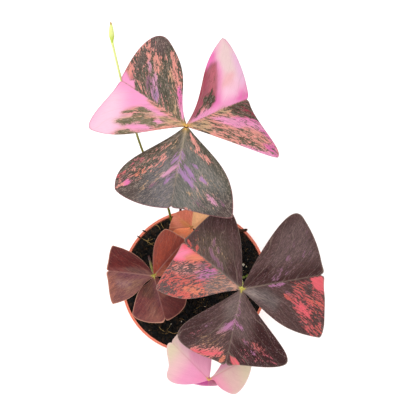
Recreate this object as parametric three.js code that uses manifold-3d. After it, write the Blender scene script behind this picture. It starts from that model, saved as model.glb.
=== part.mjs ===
// Purple shamrock (Oxalis triangularis) with pink-splashed leaves, growing in a round nursery pot.
// Millimetres, +Z up. The origin is the centre of the pot's underside, and the front of the plant faces -Y.
import * as THREE from 'three';
import { mergeVertices } from 'three/addons/utils/BufferGeometryUtils.js';
import Module from 'manifold-3d';

const wasm = await Module();
wasm.setup();

// ---------------------------------------------------------------- driving dimensions

const FIT = 0.3; // clear gap between pieces that touch

const POT = {
  rimRadius: 45, // outside of the rim
  height: 74,
  bandHeight: 9, // the thicker band under the rim
  bandWall: 1.5,
  bandFlare: 0.6, // the band is this much wider at the top
  wallTopRadius: 42.6, // outside of the wall, just under the band
  wall: 1.2,
  ledge: 1.5, // height of the inner stacking ledge
  baseRadius: 32,
  baseChamfer: 1.2,
  floor: 1.6,
  segments: 48,
};

const DRAIN = { radius: 1.9, ringRadius: 22, count: 8 };

const SOIL = {
  level: 70, // mean height of the surface
  topRings: 6,
  // each wave of the crumbly surface: height, waves along x and along y in radians per mm, phase
  waves: [
    [0.8, 0.31, 0.12, 1.1],
    [0.6, -0.17, 0.36, 0.4],
    [0.4, 0.62, -0.48, 2.0],
    [0.3, 0.35, 0.9, 0.7],
  ],
};

// Each rhizome lies level in the soil. Shoots stand on it at distances along it from its middle.
const RHIZOME = { radius: 4, scaleDip: 0.88, rings: 14, sides: 12, cavityGap: 0.5 };
const RHIZOMES = {
  rhizome_back: { centre: [-5.8, 23.5, 50], length: 28, heading: -52 },
  rhizome_middle: { centre: [9.5, -7, 50], length: 30, heading: -88 },
  rhizome_left: { centre: [-27, 12.5, 52], length: 17, heading: 60 },
};

const STEM = { sides: 8, spacing: 9, rootRise: 4 };
const HUB = { radius: 1.7, segments: 10, rings: 8 };
const BLADE = {
  thickness: 0.8,
  hubHalfWidth: 0.5,
  columns: 3, // strips from the midrib to the edge
  handle: 0.4, // reach of the edge's tangents at the hub and the notch, as a share of the distance
  veinLag: 1.5, // veins leave the midrib near the hub and sweep outwards
  shoulder: 1.6, // distance of the notch's rounded shoulders from the midrib
  waveCycles: 1.4,
  wavePhase: 0.8, // radians from one half blade to the next
};

// A half blade: fold below the leaflet's own plane, lobe [along, across] from the hub, turn of the edge at the
// lobe, reach of that turn [towards the hub, towards the notch], and the edge's angle at the hub and the notch.
const half = (fold, lobe, turn, reach, spread, notchAngle) => ({ fold, lobe, turn, reach, spread, notchAngle });

// A leaf: hub, stem radius, stem points from the soil upwards, and its three leaflets. A leaflet's heading is
// counter-clockwise from +X, its pitch is above the horizontal, and its roll lifts its left half.
const LEAVES = {
  leaf_tall: {
    hub: [-1.9, 50.4, 180],
    stemRadius: 1,
    rhizome: 'rhizome_back',
    rootAlong: -5,
    stem: [[-10, 33, 70], [-8.3, 37.4, 95], [-5.6, 43.6, 137]],
    notchDepth: 0.7,
    arch: 1.6,
    cup: 1,
    wave: 0.5,
    steps: 8,
    leaflets: [
      { heading: 147, pitch: 12, roll: -6, length: 37,
        left: half(14, [36.5, 27], 0, [16, 3], 36, 85), right: half(8, [31, 31.5], 25, [24, 13], 36, 65) },
      { heading: 34, pitch: -16, roll: 13, length: 37.5,
        left: half(-8, [40.5, 33.5], 25, [26, 2.5], 20, 47), right: half(6, [38.5, 33], -20, [2, 6], 40, 95) },
      { heading: -103, pitch: -30, roll: 0, length: 39.5,
        left: half(13, [39.5, 31], 5, [23, 3], 50, 85), right: half(13, [38, 31.5], -10, [16, 4], 40, 60) },
    ],
  },
  leaf_right: {
    hub: [24.8, -21.5, 148],
    stemRadius: 1,
    rhizome: 'rhizome_middle',
    rootAlong: -8,
    stem: [[9.5, 6, 70], [16, 1, 98], [23, -9.5, 126]],
    notchDepth: 1.5,
    arch: 1.4,
    cup: 1,
    wave: 0.5,
    steps: 8,
    leaflets: [
      { heading: 12, pitch: -9, roll: 8, length: 41.5,
        left: half(13, [42, 33], -65, [11, 2], 52, 60), right: half(21, [38.2, 32.7], 20, [23.5, 2], 48, 76) },
      { heading: -102.5, pitch: -34, roll: 2, length: 40.5,
        left: half(22, [40, 32.5], -40, [7, 4], 38, 80), right: half(24, [36.5, 31], 10, [9, 9], 40, 70) },
      { heading: 138, pitch: -10, roll: -6, length: 38,
        left: half(19, [37, 29], 10, [22, 2], 40, 80), right: half(13, [37.5, 31], 15, [17, 2], 48, 65) },
    ],
  },
  leaf_left: {
    hub: [-21.5, -6.8, 112],
    stemRadius: 0.9,
    rhizome: 'rhizome_left',
    rootAlong: 0,
    stem: [[-28.8, 14.6, 70], [-27.4, 11, 84], [-24.6, 2.5, 100]],
    notchDepth: 1.2,
    arch: 0.8,
    cup: 0.8,
    wave: 0.3,
    steps: 6,
    leaflets: [
      { heading: 172.5, pitch: -5, roll: -4, length: 26,
        left: half(32, [23, 20], 20, [17, 2], 38, 85), right: half(28, [28.5, 18.5], 10, [12, 2], 52, 70) },
      { heading: -75.5, pitch: -37, roll: -4, length: 27,
        left: half(38, [23, 20], 5, [12, 8], 38, 45), right: half(36, [24, 21], 25, [26, 6], 40, 35) },
      { heading: 50, pitch: 1, roll: -9, length: 26,
        left: half(29, [26, 21], -15, [10, 2], 54, 75), right: half(29, [26, 20], 0, [12, 3], 46, 75) },
    ],
  },
  leaf_young: {
    hub: [-1.4, 24.8, 101],
    stemRadius: 0.7,
    rhizome: 'rhizome_back',
    rootAlong: 5,
    stem: [[-2, 20, 70], [-1.8, 21.5, 84]],
    notchDepth: 0.4,
    arch: 0.3,
    cup: 0.3,
    wave: 0.2,
    steps: 4,
    leaflets: [
      { heading: 141, pitch: 6, roll: 0, length: 12.5,
        left: half(20, [7.5, 8], 20, [5, 4], 50, 60), right: half(20, [7, 8], 20, [4, 4], 54, 60) },
      { heading: -112, pitch: -32, roll: 0, length: 12,
        left: half(22, [11, 9], 5, [6, 2], 42, 75), right: half(22, [11, 9], 5, [6, 2], 42, 75) },
      { heading: 30, pitch: 4, roll: 0, length: 12.5,
        left: half(20, [9, 9], 20, [5, 4], 50, 60), right: half(20, [11, 9], 5, [6, 2], 44, 75) },
    ],
  },
  leaf_front: {
    hub: [8.8, -61.2, 100],
    stemRadius: 0.9,
    rhizome: 'rhizome_middle',
    rootAlong: 8,
    stem: [[11, -20, 70], [9.5, -34, 84], [8.5, -49, 92]],
    notchDepth: 0.6,
    arch: 1.2,
    cup: 1,
    wave: 0.5,
    steps: 6,
    leaflets: [
      { heading: 136.5, pitch: 12, roll: 0, length: 28,
        left: half(26, [19, 13], -70, [10, 5], 64, 60), right: half(20, [27, 20], 0, [13, 4], 42, 80) },
      { heading: 27, pitch: 12, roll: 0, length: 26,
        left: half(20, [26, 19], 0, [12, 4], 40, 80), right: half(24, [7, 13.5], 50, [13, 5], 16, 105) },
      { heading: -90, pitch: -84, roll: 0, length: 23,
        left: half(14, [22, 15], 0, [10, 4], 42, 75), right: half(14, [22, 15], 0, [10, 4], 42, 75) },
    ],
  },
};

const STALK = {
  radius: 0.6,
  rhizome: 'rhizome_back',
  rootAlong: -9,
  stem: [[-14.5, 36.6, 70], [-16.2, 40.3, 95], [-20.6, 46.6, 118], [-27.2, 56.4, 139], [-33.2, 72.6, 176]],
  budBase: [-34.8, 79.6, 205],
  budTip: [-33.8, 82.2, 216],
};

// bud outline: share of the way to the tip, radius
const BUD_PROFILE = [[0, 0.7], [0.12, 1.15], [0.3, 1.2], [0.5, 1.15], [0.75, 0.75], [0.93, 0.4]];
const BUD_SIDES = 10;

const COLOUR = {
  terracotta: 0xd9825f,
  soil: 0x1d1815,
  rhizome: 0xb07a6a,
  leaf_tall: 0x6b3f4a,
  leaf_right: 0x52323a,
  leaf_left: 0x7a3f42,
  leaf_young: 0xd0785a,
  leaf_front: 0xe39abf,
  stalk: 0xc9d96a,
};

// ---------------------------------------------------------------- small tools

const radians = THREE.MathUtils.degToRad;
const vector = (p) => new THREE.Vector3(...p);
const direction2 = (degrees) => new THREE.Vector2(Math.cos(radians(degrees)), Math.sin(radians(degrees)));
const lerp = THREE.MathUtils.lerp;

// Keeps only the positions, merges equal corners and drops triangles that have collapsed to a line.
function weld(geometry) {
  const bare = geometry.clone();
  bare.deleteAttribute('normal');
  bare.deleteAttribute('uv');
  const merged = mergeVertices(bare, 1e-4);
  const index = Array.from(merged.index.array);
  const kept = [];
  for (let i = 0; i < index.length; i += 3) {
    const [a, b, c] = index.slice(i, i + 3);
    if (a !== b && b !== c && c !== a) kept.push(a, b, c);
  }
  merged.setIndex(kept);
  return merged;
}

function solid(geometry) {
  const welded = weld(geometry);
  return new wasm.Manifold(new wasm.Mesh({
    numProp: 3,
    vertProperties: new Float32Array(welded.attributes.position.array),
    triVerts: new Uint32Array(welded.index.array),
  }));
}

function geometryOf(body) {
  const { vertProperties, triVerts } = body.getMesh();
  const geometry = new THREE.BufferGeometry();
  geometry.setAttribute('position', new THREE.BufferAttribute(new Float32Array(vertProperties), 3));
  geometry.setIndex(new THREE.BufferAttribute(new Uint32Array(triVerts), 1));
  geometry.computeVertexNormals();
  return geometry;
}

const join = (geometries) => geometries.map(solid).reduce((all, next) => all.add(next));

function piece(name, geometry, colour, roughness) {
  const mesh = new THREE.Mesh(geometry, new THREE.MeshStandardMaterial({ color: colour, roughness, metalness: 0 }));
  mesh.name = name;
  return mesh;
}

// A body of revolution about Z from a profile of [radius, height] points.
function lathe(profile, segments) {
  const geometry = new THREE.LatheGeometry(profile.map(([r, z]) => new THREE.Vector2(r, z)), segments);
  return geometry.rotateX(Math.PI / 2);
}

// A round rod with closed ends along a smooth curve through the points.
function rod(points, radius) {
  const path = new THREE.CatmullRomCurve3(points, false, 'centripetal');
  const section = new THREE.Shape();
  for (let i = 0; i < STEM.sides; i += 1) {
    const angle = (2 * Math.PI * i) / STEM.sides;
    const corner = [radius * Math.cos(angle), radius * Math.sin(angle)];
    if (i === 0) section.moveTo(...corner);
    else section.lineTo(...corner);
  }
  section.closePath();
  const steps = Math.ceil(path.getLength() / STEM.spacing);
  return new THREE.ExtrudeGeometry(section, { steps, extrudePath: path, bevelEnabled: false });
}

// ---------------------------------------------------------------- pot

function potGeometry() {
  const p = POT;
  const bandBottom = p.height - p.bandHeight;
  const wallInner = p.wallTopRadius - p.wall;
  const profile = [
    [0, 0],
    [p.baseRadius - p.baseChamfer, 0],
    [p.baseRadius, p.baseChamfer],
    [p.wallTopRadius, bandBottom - 0.5],
    [p.rimRadius - p.bandFlare, bandBottom],
    [p.rimRadius, p.height - 0.7],
    [p.rimRadius - 0.4, p.height],
    [p.rimRadius - p.bandWall + 0.4, p.height],
    [p.rimRadius - p.bandWall, p.height - 0.5],
    [p.rimRadius - p.bandWall - p.bandFlare, bandBottom + p.ledge],
    [wallInner, bandBottom],
    [p.baseRadius - p.wall, p.floor],
    [0, p.floor],
  ];
  let body = solid(lathe(profile, p.segments));
  for (let i = 0; i < DRAIN.count; i += 1) {
    const angle = (2 * Math.PI * (i + 0.5)) / DRAIN.count;
    const hole = new THREE.CylinderGeometry(DRAIN.radius, DRAIN.radius, 4 * p.floor, 12).rotateX(Math.PI / 2);
    hole.translate(DRAIN.ringRadius * Math.cos(angle), DRAIN.ringRadius * Math.sin(angle), 0);
    body = body.subtract(solid(hole));
  }
  return geometryOf(body);
}

// ---------------------------------------------------------------- rhizomes

// Radius of a rhizome at a share t of its length: blunt at both ends.
const rhizomeRadius = (t) => RHIZOME.radius * Math.sqrt(Math.max(0, 1 - Math.abs(2 * t - 1) ** 4));

// Lies along +X about the rhizome's own middle. The scales show as rings that dip between them.
function rhizomeGeometry(length, scaleDip, gap) {
  const profile = [];
  for (let i = 0; i <= RHIZOME.rings; i += 1) {
    const t = i / RHIZOME.rings;
    const end = i === 0 || i === RHIZOME.rings;
    const dip = i % 2 ? scaleDip : 1;
    profile.push([end ? 0 : rhizomeRadius(t) * dip + gap, (t - 0.5) * (length + 2 * gap)]);
  }
  return lathe(profile, RHIZOME.sides).rotateY(Math.PI / 2);
}

function placeRhizome(object, { centre, heading }) {
  object.position.set(...centre);
  object.rotation.z = radians(heading);
  object.updateMatrix();
  return object;
}

// The point just over a rhizome's crest where a shoot stands.
function rootPoint(name, along) {
  const { centre, heading, length } = RHIZOMES[name];
  const out = direction2(heading).multiplyScalar(along);
  const crest = rhizomeRadius(0.5 + along / length);
  return new THREE.Vector3(centre[0] + out.x, centre[1] + out.y, centre[2] + crest + FIT);
}

// ---------------------------------------------------------------- stems

function stemPoints(shoot, end) {
  const root = rootPoint(shoot.rhizome, shoot.rootAlong);
  const rise = root.clone().add(new THREE.Vector3(0, 0, STEM.rootRise));
  return [root, rise, ...shoot.stem.map(vector), ...end];
}

const leafStem = (leaf) => stemPoints(leaf, [vector(leaf.hub)]);
const stalkStem = () => stemPoints(STALK, [vector(STALK.budBase)]);

// ---------------------------------------------------------------- leaves

// Axes of a leaflet: out along its midrib, towards its left edge, and up out of its face.
function leafletAxes({ heading, pitch, roll }) {
  const [h, p, r] = [heading, pitch, roll].map(radians);
  const along = new THREE.Vector3(Math.cos(h) * Math.cos(p), Math.sin(h) * Math.cos(p), Math.sin(p));
  const flat = new THREE.Vector3(-Math.sin(h), Math.cos(h), 0);
  const up = new THREE.Vector3().crossVectors(along, flat);
  const left = flat.multiplyScalar(Math.cos(r)).addScaledVector(up, Math.sin(r));
  return { along, left, up: new THREE.Vector3().crossVectors(along, left) };
}

// The edge of a half blade from the hub round the lobe to the notch, as [along, across] points.
function edgePoints(leaf, leaflet, side) {
  const hub = new THREE.Vector2(0, BLADE.hubHalfWidth);
  const lobe = new THREE.Vector2(...side.lobe);
  const notch = new THREE.Vector2(leaflet.length, 0);
  const turn = direction2(side.turn);
  const leave = hub.clone().addScaledVector(direction2(side.spread), hub.distanceTo(lobe) * BLADE.handle);
  const arrive = notch.clone().addScaledVector(direction2(side.notchAngle), notch.distanceTo(lobe) * BLADE.handle);
  const before = lobe.clone().addScaledVector(turn, -side.reach[0]);
  const after = lobe.clone().addScaledVector(turn, side.reach[1]);
  const inner = new THREE.CubicBezierCurve(hub, leave, before, lobe).getPoints(leaf.steps);
  const outer = new THREE.CubicBezierCurve(lobe, after, arrive, notch).getPoints(leaf.steps).slice(1);
  for (const point of outer) {
    const share = point.y / BLADE.shoulder;
    point.x += leaf.notchDepth * share * Math.exp(1 - share);
  }
  return [...inner, ...outer];
}

// Points of one face of a half blade, row by row from the hub to the notch, each from midrib to edge.
function halfFace(leaf, leaflet, side, sign, phase) {
  const { along, left, up } = leafletAxes(leaflet);
  const fold = radians(side.fold);
  const across = left.clone().multiplyScalar(sign * Math.cos(fold)).addScaledVector(up, -Math.sin(fold));
  const edge = edgePoints(leaf, leaflet, side);
  const last = edge.length - 1;
  return edge.map((rim, i) => {
    const midrib = leaflet.length * (i / last) ** BLADE.veinLag;
    const row = [];
    for (let j = 0; j <= BLADE.columns; j += 1) {
      const v = j / BLADE.columns;
      const x = lerp(midrib, rim.x, v);
      const y = rim.y * v;
      const reach = x / leaflet.length;
      const arch = 4 * leaf.arch * reach * (1 - reach);
      const cup = 4 * leaf.cup * v * (1 - v) * Math.min(1, rim.y / leaflet.length * 2);
      const wave = leaf.wave * v * v * Math.sin(Math.PI * i / last) *
        Math.sin((2 * Math.PI * BLADE.waveCycles * i) / last + phase);
      row.push(new THREE.Vector3()
        .addScaledVector(along, x)
        .addScaledVector(across, y)
        .addScaledVector(up, arch + cup + wave));
    }
    return row;
  });
}

// A leaflet as one closed thin body: both faces have the same triangles, one thickness apart.
function leafletGeometry(leaf, leaflet, index) {
  const { up } = leafletAxes(leaflet);
  const phase = BLADE.wavePhase * 2 * index;
  const left = halfFace(leaf, leaflet, leaflet.left, 1, phase);
  const right = halfFace(leaf, leaflet, leaflet.right, -1, phase + BLADE.wavePhase);
  // one row runs from the left edge over the midrib to the right edge
  const rows = left.map((row, i) => [...row.slice(1).reverse(), ...right[i]]);
  const width = rows[0].length;
  const top = rows.flat();
  const bottom = top.map((p) => p.clone().addScaledVector(up, -BLADE.thickness));
  const count = top.length;
  const triangles = [];
  const quad = (a, b, c, d) => triangles.push(a, b, c, a, c, d);
  const at = (i, j) => i * width + j;
  for (let i = 0; i < rows.length - 1; i += 1) {
    for (let j = 0; j < width - 1; j += 1) {
      const corners = [at(i, j), at(i, j + 1), at(i + 1, j + 1), at(i + 1, j)];
      const [a, b, c, d] = corners;
      quad(a, b, c, d);
      triangles.push(count + a, count + c, count + b, count + a, count + d, count + c);
    }
  }
  // the wall round the rim: down the left edge, across the notch, up the right edge, across the hub
  const rim = [];
  for (let i = 0; i < rows.length - 1; i += 1) rim.push(at(i, 0));
  for (let j = 0; j < width - 1; j += 1) rim.push(at(rows.length - 1, j));
  for (let i = rows.length - 1; i > 0; i -= 1) rim.push(at(i, width - 1));
  for (let j = width - 1; j > 0; j -= 1) rim.push(at(0, j));
  rim.forEach((a, k) => {
    const b = rim[(k + 1) % rim.length];
    quad(a, b, count + b, count + a);
  });
  const geometry = new THREE.BufferGeometry().setFromPoints([...top, ...bottom]);
  geometry.setIndex(triangles);
  return geometry;
}

// The whole leaf about its hub: stem, hub and three leaflets in one body.
function leafGeometry(leaf) {
  const hub = vector(leaf.hub);
  const stem = rod(leafStem(leaf).map((p) => p.sub(hub)), leaf.stemRadius);
  const knob = new THREE.SphereGeometry(HUB.radius, HUB.segments, HUB.rings);
  const blades = leaf.leaflets.map((leaflet, i) => leafletGeometry(leaf, leaflet, i));
  return geometryOf(join([stem, knob, ...blades]));
}

function stalkGeometry() {
  const base = vector(STALK.budBase);
  const axis = vector(STALK.budTip).sub(base);
  const length = axis.length();
  const profile = [[0, -0.6], ...BUD_PROFILE.map(([t, r]) => [r, t * length]), [0, length]];
  const bud = lathe(profile, BUD_SIDES);
  const turn = new THREE.Quaternion().setFromUnitVectors(new THREE.Vector3(0, 0, 1), axis.normalize());
  bud.applyQuaternion(turn).translate(...STALK.budBase);
  return geometryOf(join([rod(stalkStem(), STALK.radius), bud]));
}

// ---------------------------------------------------------------- soil

const soilHeight = (x, y) => SOIL.waves.reduce((z, [h, kx, ky, phase]) => z + h * Math.sin(kx * x + ky * y + phase), 0);

function soilGeometry(rhizomes) {
  const p = POT;
  const bandBottom = p.height - p.bandHeight;
  const bandInner = p.rimRadius - p.bandWall - p.bandFlare - FIT;
  const topRadius = bandInner + p.bandFlare * 0.4;
  const sides = [
    [0, p.floor + FIT],
    [p.baseRadius - p.wall - 2 * FIT, p.floor + FIT],
    [p.wallTopRadius - p.wall - FIT, bandBottom + FIT],
    [bandInner, bandBottom + p.ledge + FIT],
  ];
  const top = [];
  for (let i = SOIL.topRings; i >= 0; i -= 1) top.push([(topRadius * i) / SOIL.topRings, SOIL.level]);
  const geometry = lathe([...sides, ...top], p.segments);
  const points = geometry.attributes.position;
  for (let i = 0; i < points.count; i += 1) {
    const [x, y, z] = [points.getX(i), points.getY(i), points.getZ(i)];
    const edge = (Math.hypot(x, y) / topRadius) ** 8;
    if (z > SOIL.level - 0.01) points.setZ(i, z + soilHeight(x, y) * (1 - edge));
  }
  let body = solid(geometry);
  for (const leaf of Object.values(LEAVES)) body = body.subtract(solid(rod(leafStem(leaf), leaf.stemRadius + FIT)));
  body = body.subtract(solid(rod(stalkStem(), STALK.radius + FIT)));
  for (const rhizome of rhizomes) {
    const cavity = rhizomeGeometry(RHIZOMES[rhizome.name].length, 1, RHIZOME.cavityGap);
    body = body.subtract(solid(cavity.applyMatrix4(rhizome.matrix)));
  }
  return geometryOf(body);
}

// ---------------------------------------------------------------- assembly

const group = new THREE.Group();
group.add(piece('pot', potGeometry(), COLOUR.terracotta, 0.55));

const rhizomes = Object.entries(RHIZOMES).map(([name, rhizome]) => {
  const body = solid(rhizomeGeometry(rhizome.length, RHIZOME.scaleDip, 0));
  return placeRhizome(piece(name, geometryOf(body), COLOUR.rhizome, 0.8), rhizome);
});
group.add(...rhizomes);
group.add(piece('soil', soilGeometry(rhizomes), COLOUR.soil, 0.95));

const plant = new THREE.Group();
for (const [name, leaf] of Object.entries(LEAVES)) {
  const mesh = piece(name, leafGeometry(leaf), COLOUR[name], 0.6);
  mesh.position.set(...leaf.hub);
  plant.add(mesh);
}
plant.add(piece('flower_stalk', stalkGeometry(), COLOUR.stalk, 0.6));
group.add(plant);

export default group;
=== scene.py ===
# Purple shamrock (Oxalis triangularis) with pink-splashed leaves, in a round nursery pot.
# The plant's own data are in millimetres, as in the part's source; every mesh is made in metres.
import math
import random

import bpy
import numpy as np
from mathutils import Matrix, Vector, noise


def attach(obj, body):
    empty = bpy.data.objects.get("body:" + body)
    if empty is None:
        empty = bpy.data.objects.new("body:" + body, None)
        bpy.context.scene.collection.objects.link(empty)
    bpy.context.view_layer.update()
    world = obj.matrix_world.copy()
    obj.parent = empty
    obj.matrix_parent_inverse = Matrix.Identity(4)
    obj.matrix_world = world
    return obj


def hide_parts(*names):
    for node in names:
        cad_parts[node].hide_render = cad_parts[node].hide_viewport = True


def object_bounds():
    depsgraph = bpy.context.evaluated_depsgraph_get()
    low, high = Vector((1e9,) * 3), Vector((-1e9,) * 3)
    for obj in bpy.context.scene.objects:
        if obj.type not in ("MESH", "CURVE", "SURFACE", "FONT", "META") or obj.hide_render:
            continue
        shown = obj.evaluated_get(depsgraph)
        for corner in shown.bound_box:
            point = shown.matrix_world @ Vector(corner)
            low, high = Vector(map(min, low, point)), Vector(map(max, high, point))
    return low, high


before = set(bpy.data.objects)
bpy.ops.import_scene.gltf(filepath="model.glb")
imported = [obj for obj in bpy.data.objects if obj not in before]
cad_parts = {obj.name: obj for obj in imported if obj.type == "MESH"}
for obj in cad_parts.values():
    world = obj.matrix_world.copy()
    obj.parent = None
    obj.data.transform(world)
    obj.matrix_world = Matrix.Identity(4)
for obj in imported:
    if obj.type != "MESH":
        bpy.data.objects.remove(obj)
cad_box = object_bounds()

MM = 0.001
BODY = "root"

# how bright the studio light shows a white surface, the gloss that it adds, and the darkest base colour
STUDIO_LEVEL = 1.25
STUDIO_GLOSS = 0.02
DARKEST = 0.003


def shown(code):
    """Base colour of a surface that shows as this sRGB colour in the studio light, gloss included."""
    parts = [int(code[i:i + 2], 16) / 255 for i in (0, 2, 4)]
    light = np.array([c / 12.92 if c <= 0.04045 else ((c + 0.055) / 1.055) ** 2.4 for c in parts])
    return np.maximum((light - STUDIO_GLOSS) / STUDIO_LEVEL, DARKEST)


# ---------------------------------------------------------------- colours

# tissue of the leaves
OLIVE = shown("5a564c")
OLIVE_TAN = shown("7c705a")
# grey of a leaf face, partly a painted sheen
SLATE_SHEEN = shown("757472")
PLUM = shown("6a5658")
BARK_BROWN = shown("4c3d34")
UMBER = shown("4c4442")
MAROON = shown("5a4442")
DARK_MAROON = shown("422729")
GREY_MAUVE = shown("6a5654")
# painted sheen: grey-lilac that stands for the light's soft reflection on the leaf face
GREY_LILAC_SHEEN = shown("92837e")
OXBLOOD = shown("682c2c")
BRICK = shown("96483a")
RUSSET = shown("7c4442")
ROSEWOOD = shown("865652")
SALMON_BROWN = shown("a86858")
# ORANGE and APRICOT, the young leaf's tissue, are painted brighter than its own colour: painted light that
# offsets the shade of the tall leaf over it
ORANGE = shown("ea8a62")
APRICOT = shown("ffc490")
SAND = shown("b8a496")
MAUVE_SAND = shown("8e7276")

# flecks and the solid pinks
CORAL = shown("f0a296")
TAN = shown("d6b08c")
RED_CORAL = shown("dc6c64")
ROSE_CORAL = shown("d4686a")
HOT_CORAL = shown("ec6a74")
ORANGE_CORAL = shown("ea8c70")
ROSE = shown("c8707c")
DUSTY_ROSE = shown("b05e68")
CRIMSON_ROSE = shown("a84456")
PINK = shown("f8a2cc")
HOT_PINK = shown("ee7cb8")
PALE_PINK = shown("fccbde")
BLUSH = shown("f3d3d2")
SOFT_PINK = shown("f2a0c2")
MAUVE = shown("dca0bc")
LILAC = shown("b088b4")
VIOLET = shown("b67ca2")
DARK_VIOLET = shown("8e687c")
CREAM = shown("e0ceb2")
HUB_YELLOW = shown("b0a050")
HUB_TAN = shown("d8aa58")
MAGENTA_UNDER = shown("ae3c82")
SALMON_EDGE = shown("d29880")
BONE = shown("a08c7e")
MOSS_GREY = shown("706858")
LIME_DEEP = shown("c8dc58")

# stems, bud, compost and pot
LIME = shown("e6f096")
OLIVE_GREEN = shown("7e7a24")
STEM_BROWN = shown("4a2a20")
STEM_GREEN = shown("c4c05c")
BUD_ORANGE = shown("b88a3c")
COMPOST = shown("15100e")
TERRACOTTA = shown("fb9276")

# ---------------------------------------------------------------- plant data, in millimetres

BLADE = {
    "thickness": 0.4, "rim_thickness": 0.14, "rim_width": 1.2, "rim_tint_from_to": (0.8, 0.2),
    "hub_half_width": 0.5, "handle": 0.4, "shoulder": 1.6,
    "wave_cycles": 1.4, "wave_phase": 0.8, "vein_lag": 1.5, "vein_lead": 0.08, "vein_bend": 0.011,
    "rows_per_mm": 2.6, "columns_per_mm": 1.15, "notch_crowding": 1.4,
}

# what follows a midrib and fades towards the notch: height or strength at the hub, half width, share lost
MIDRIB = {"groove": (0.12, 0.45, 0.7), "keel": (0.45, 0.5, 0.8), "stripe": (1, 0.3, 0.6)}


def half(fold, lobe, turn, reach, spread, notch, vein_turn=0):
    """A half blade: its fold, its lobe, the edge's turn and handles there, the edge's ends and its veins."""
    return {
        "fold": fold, "lobe": lobe, "turn": turn, "reach": reach, "spread": spread, "notch": notch,
        "vein_turn": vein_turn,
    }


def leaflet(heading, pitch, roll, length, left, right):
    return {
        "heading": heading, "pitch": pitch, "roll": roll, "length": length, "left": left, "right": right,
    }


LEAVES = {
    "leaf_tall": {
        "hub": (-1.9, 50.4, 180), "stem_radius": 1, "rhizome": "rhizome_back", "root_along": -5,
        "stem": [(-10, 33, 70), (-8.3, 37.4, 95), (-5.6, 43.6, 137)],
        "notch_depth": 0.7, "arch": 1.6, "cup": 1, "wave": 0.5,
        "leaflets": [
            leaflet(147, 12, -6, 37, half(14, (35.8, 27.3), 12, (15, 7), 39.5, 85),
                    half(8, (31, 31.5), 25, (24, 13), 36, 65)),
            leaflet(34, -16, 13, 37.5, half(-8, (40.3, 33.3), 25, (26, 4.5), 29, 47),
                    half(6, (38.5, 33), -20, (2, 6), 43, 95)),
            leaflet(-103, -30, 0, 39.5, half(13, (39.5, 31), 5, (23, 3), 50, 85),
                    half(13, (38, 31.5), -10, (16, 4), 40, 60)),
        ],
    },
    "leaf_right": {
        "hub": (24.8, -21.5, 148), "stem_radius": 1, "rhizome": "rhizome_middle", "root_along": -8,
        "stem": [(9.5, 6, 70), (16, 1, 98), (23, -9.5, 126), (25.1, -17.5, 144)],
        "notch_depth": 1.5, "arch": 1.4, "cup": 1, "wave": 0.5,
        "leaflets": [
            leaflet(12, -9, 8, 41.5, half(13, (42, 33), -65, (11, 2), 52, 60),
                    half(21, (37.7, 32.5), 20, (23.3, 3.6), 50, 76)),
            leaflet(-102.5, -34, 2, 40.5, half(22, (40, 32.5), -40, (7, 4), 38, 80),
                    half(24, (36.5, 31), 10, (9, 9), 40, 70)),
            leaflet(138, -10, -6, 38, half(19, (37, 29), 10, (22, 2), 40, 80, 14),
                    half(13, (37.5, 31), 15, (17, 2), 48, 65)),
        ],
    },
    "leaf_left": {
        "hub": (-21.5, -6.8, 112), "stem_radius": 0.9, "rhizome": "rhizome_left", "root_along": 0,
        "stem": [(-28.8, 14.6, 70), (-27.4, 11, 84), (-24.6, 2.5, 100)],
        "notch_depth": 1.2, "arch": 0.8, "cup": 0.8, "wave": 0.3,
        "leaflets": [
            leaflet(172.5, -5, -4, 26, half(32, (23, 20), 20, (17, 2), 38, 85),
                    half(28, (28.5, 18.5), 10, (12, 2), 52, 70)),
            leaflet(-75.5, -37, -4, 27, half(38, (23, 20), 5, (12, 8), 38, 45),
                    half(36, (24, 21), 25, (26, 6), 40, 35)),
            leaflet(50, 1, -9, 26, half(29, (26, 21), -15, (10, 2), 54, 75),
                    half(29, (26, 20), 0, (12, 3), 46, 75)),
        ],
    },
    "leaf_young": {
        "hub": (-1.4, 24.8, 101), "stem_radius": 0.7, "rhizome": "rhizome_back", "root_along": 5,
        "stem": [(-2, 20, 70), (-1.8, 21.5, 84)],
        "notch_depth": 0.4, "arch": 0.3, "cup": 0.3, "wave": 0.2,
        "leaflets": [
            leaflet(141, 6, 0, 12.5, half(32, (8.8, 10.4), 10, (5, 2), 50, 95),
                    half(20, (5.8, 9), 40, (4, 3), 58, 95)),
            leaflet(-112, -32, 0, 12, half(22, (11, 9), 5, (6, 2), 42, 75),
                    half(0, (8.5, 10.2), 0, (5, 3), 56, 75)),
            leaflet(30, 4, 0, 12.5, half(20, (8, 10), 20, (5, 4), 56, 60),
                    half(20, (11, 9), 5, (6, 2), 44, 75)),
        ],
    },
    "leaf_front": {
        "hub": (8.8, -61.2, 100), "stem_radius": 0.9, "rhizome": "rhizome_middle", "root_along": 8,
        "stem": [(11, -20, 70), (9.5, -34, 84), (8.5, -49, 92)],
        "notch_depth": 0.6, "arch": 1.2, "cup": 1, "wave": 0.5,
        "leaflets": [
            leaflet(136.5, 12, 0, 28, half(26, (19, 13), -70, (11.5, 5), 72, 60),
                    half(20, (26.6, 21), 0, (12, 4), 60, 80)),
            leaflet(27, 12, 0, 26, half(20, (25, 12.5), 0, (9, 4), 0, 80),
                    half(24, (7, 13.5), 50, (13, 5), 16, 105)),
            leaflet(-90, -84, 0, 23, half(14, (22, 15), 0, (10, 4), 42, 75),
                    half(14, (22, 15), 0, (10, 4), 42, 75)),
        ],
    },
}

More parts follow.
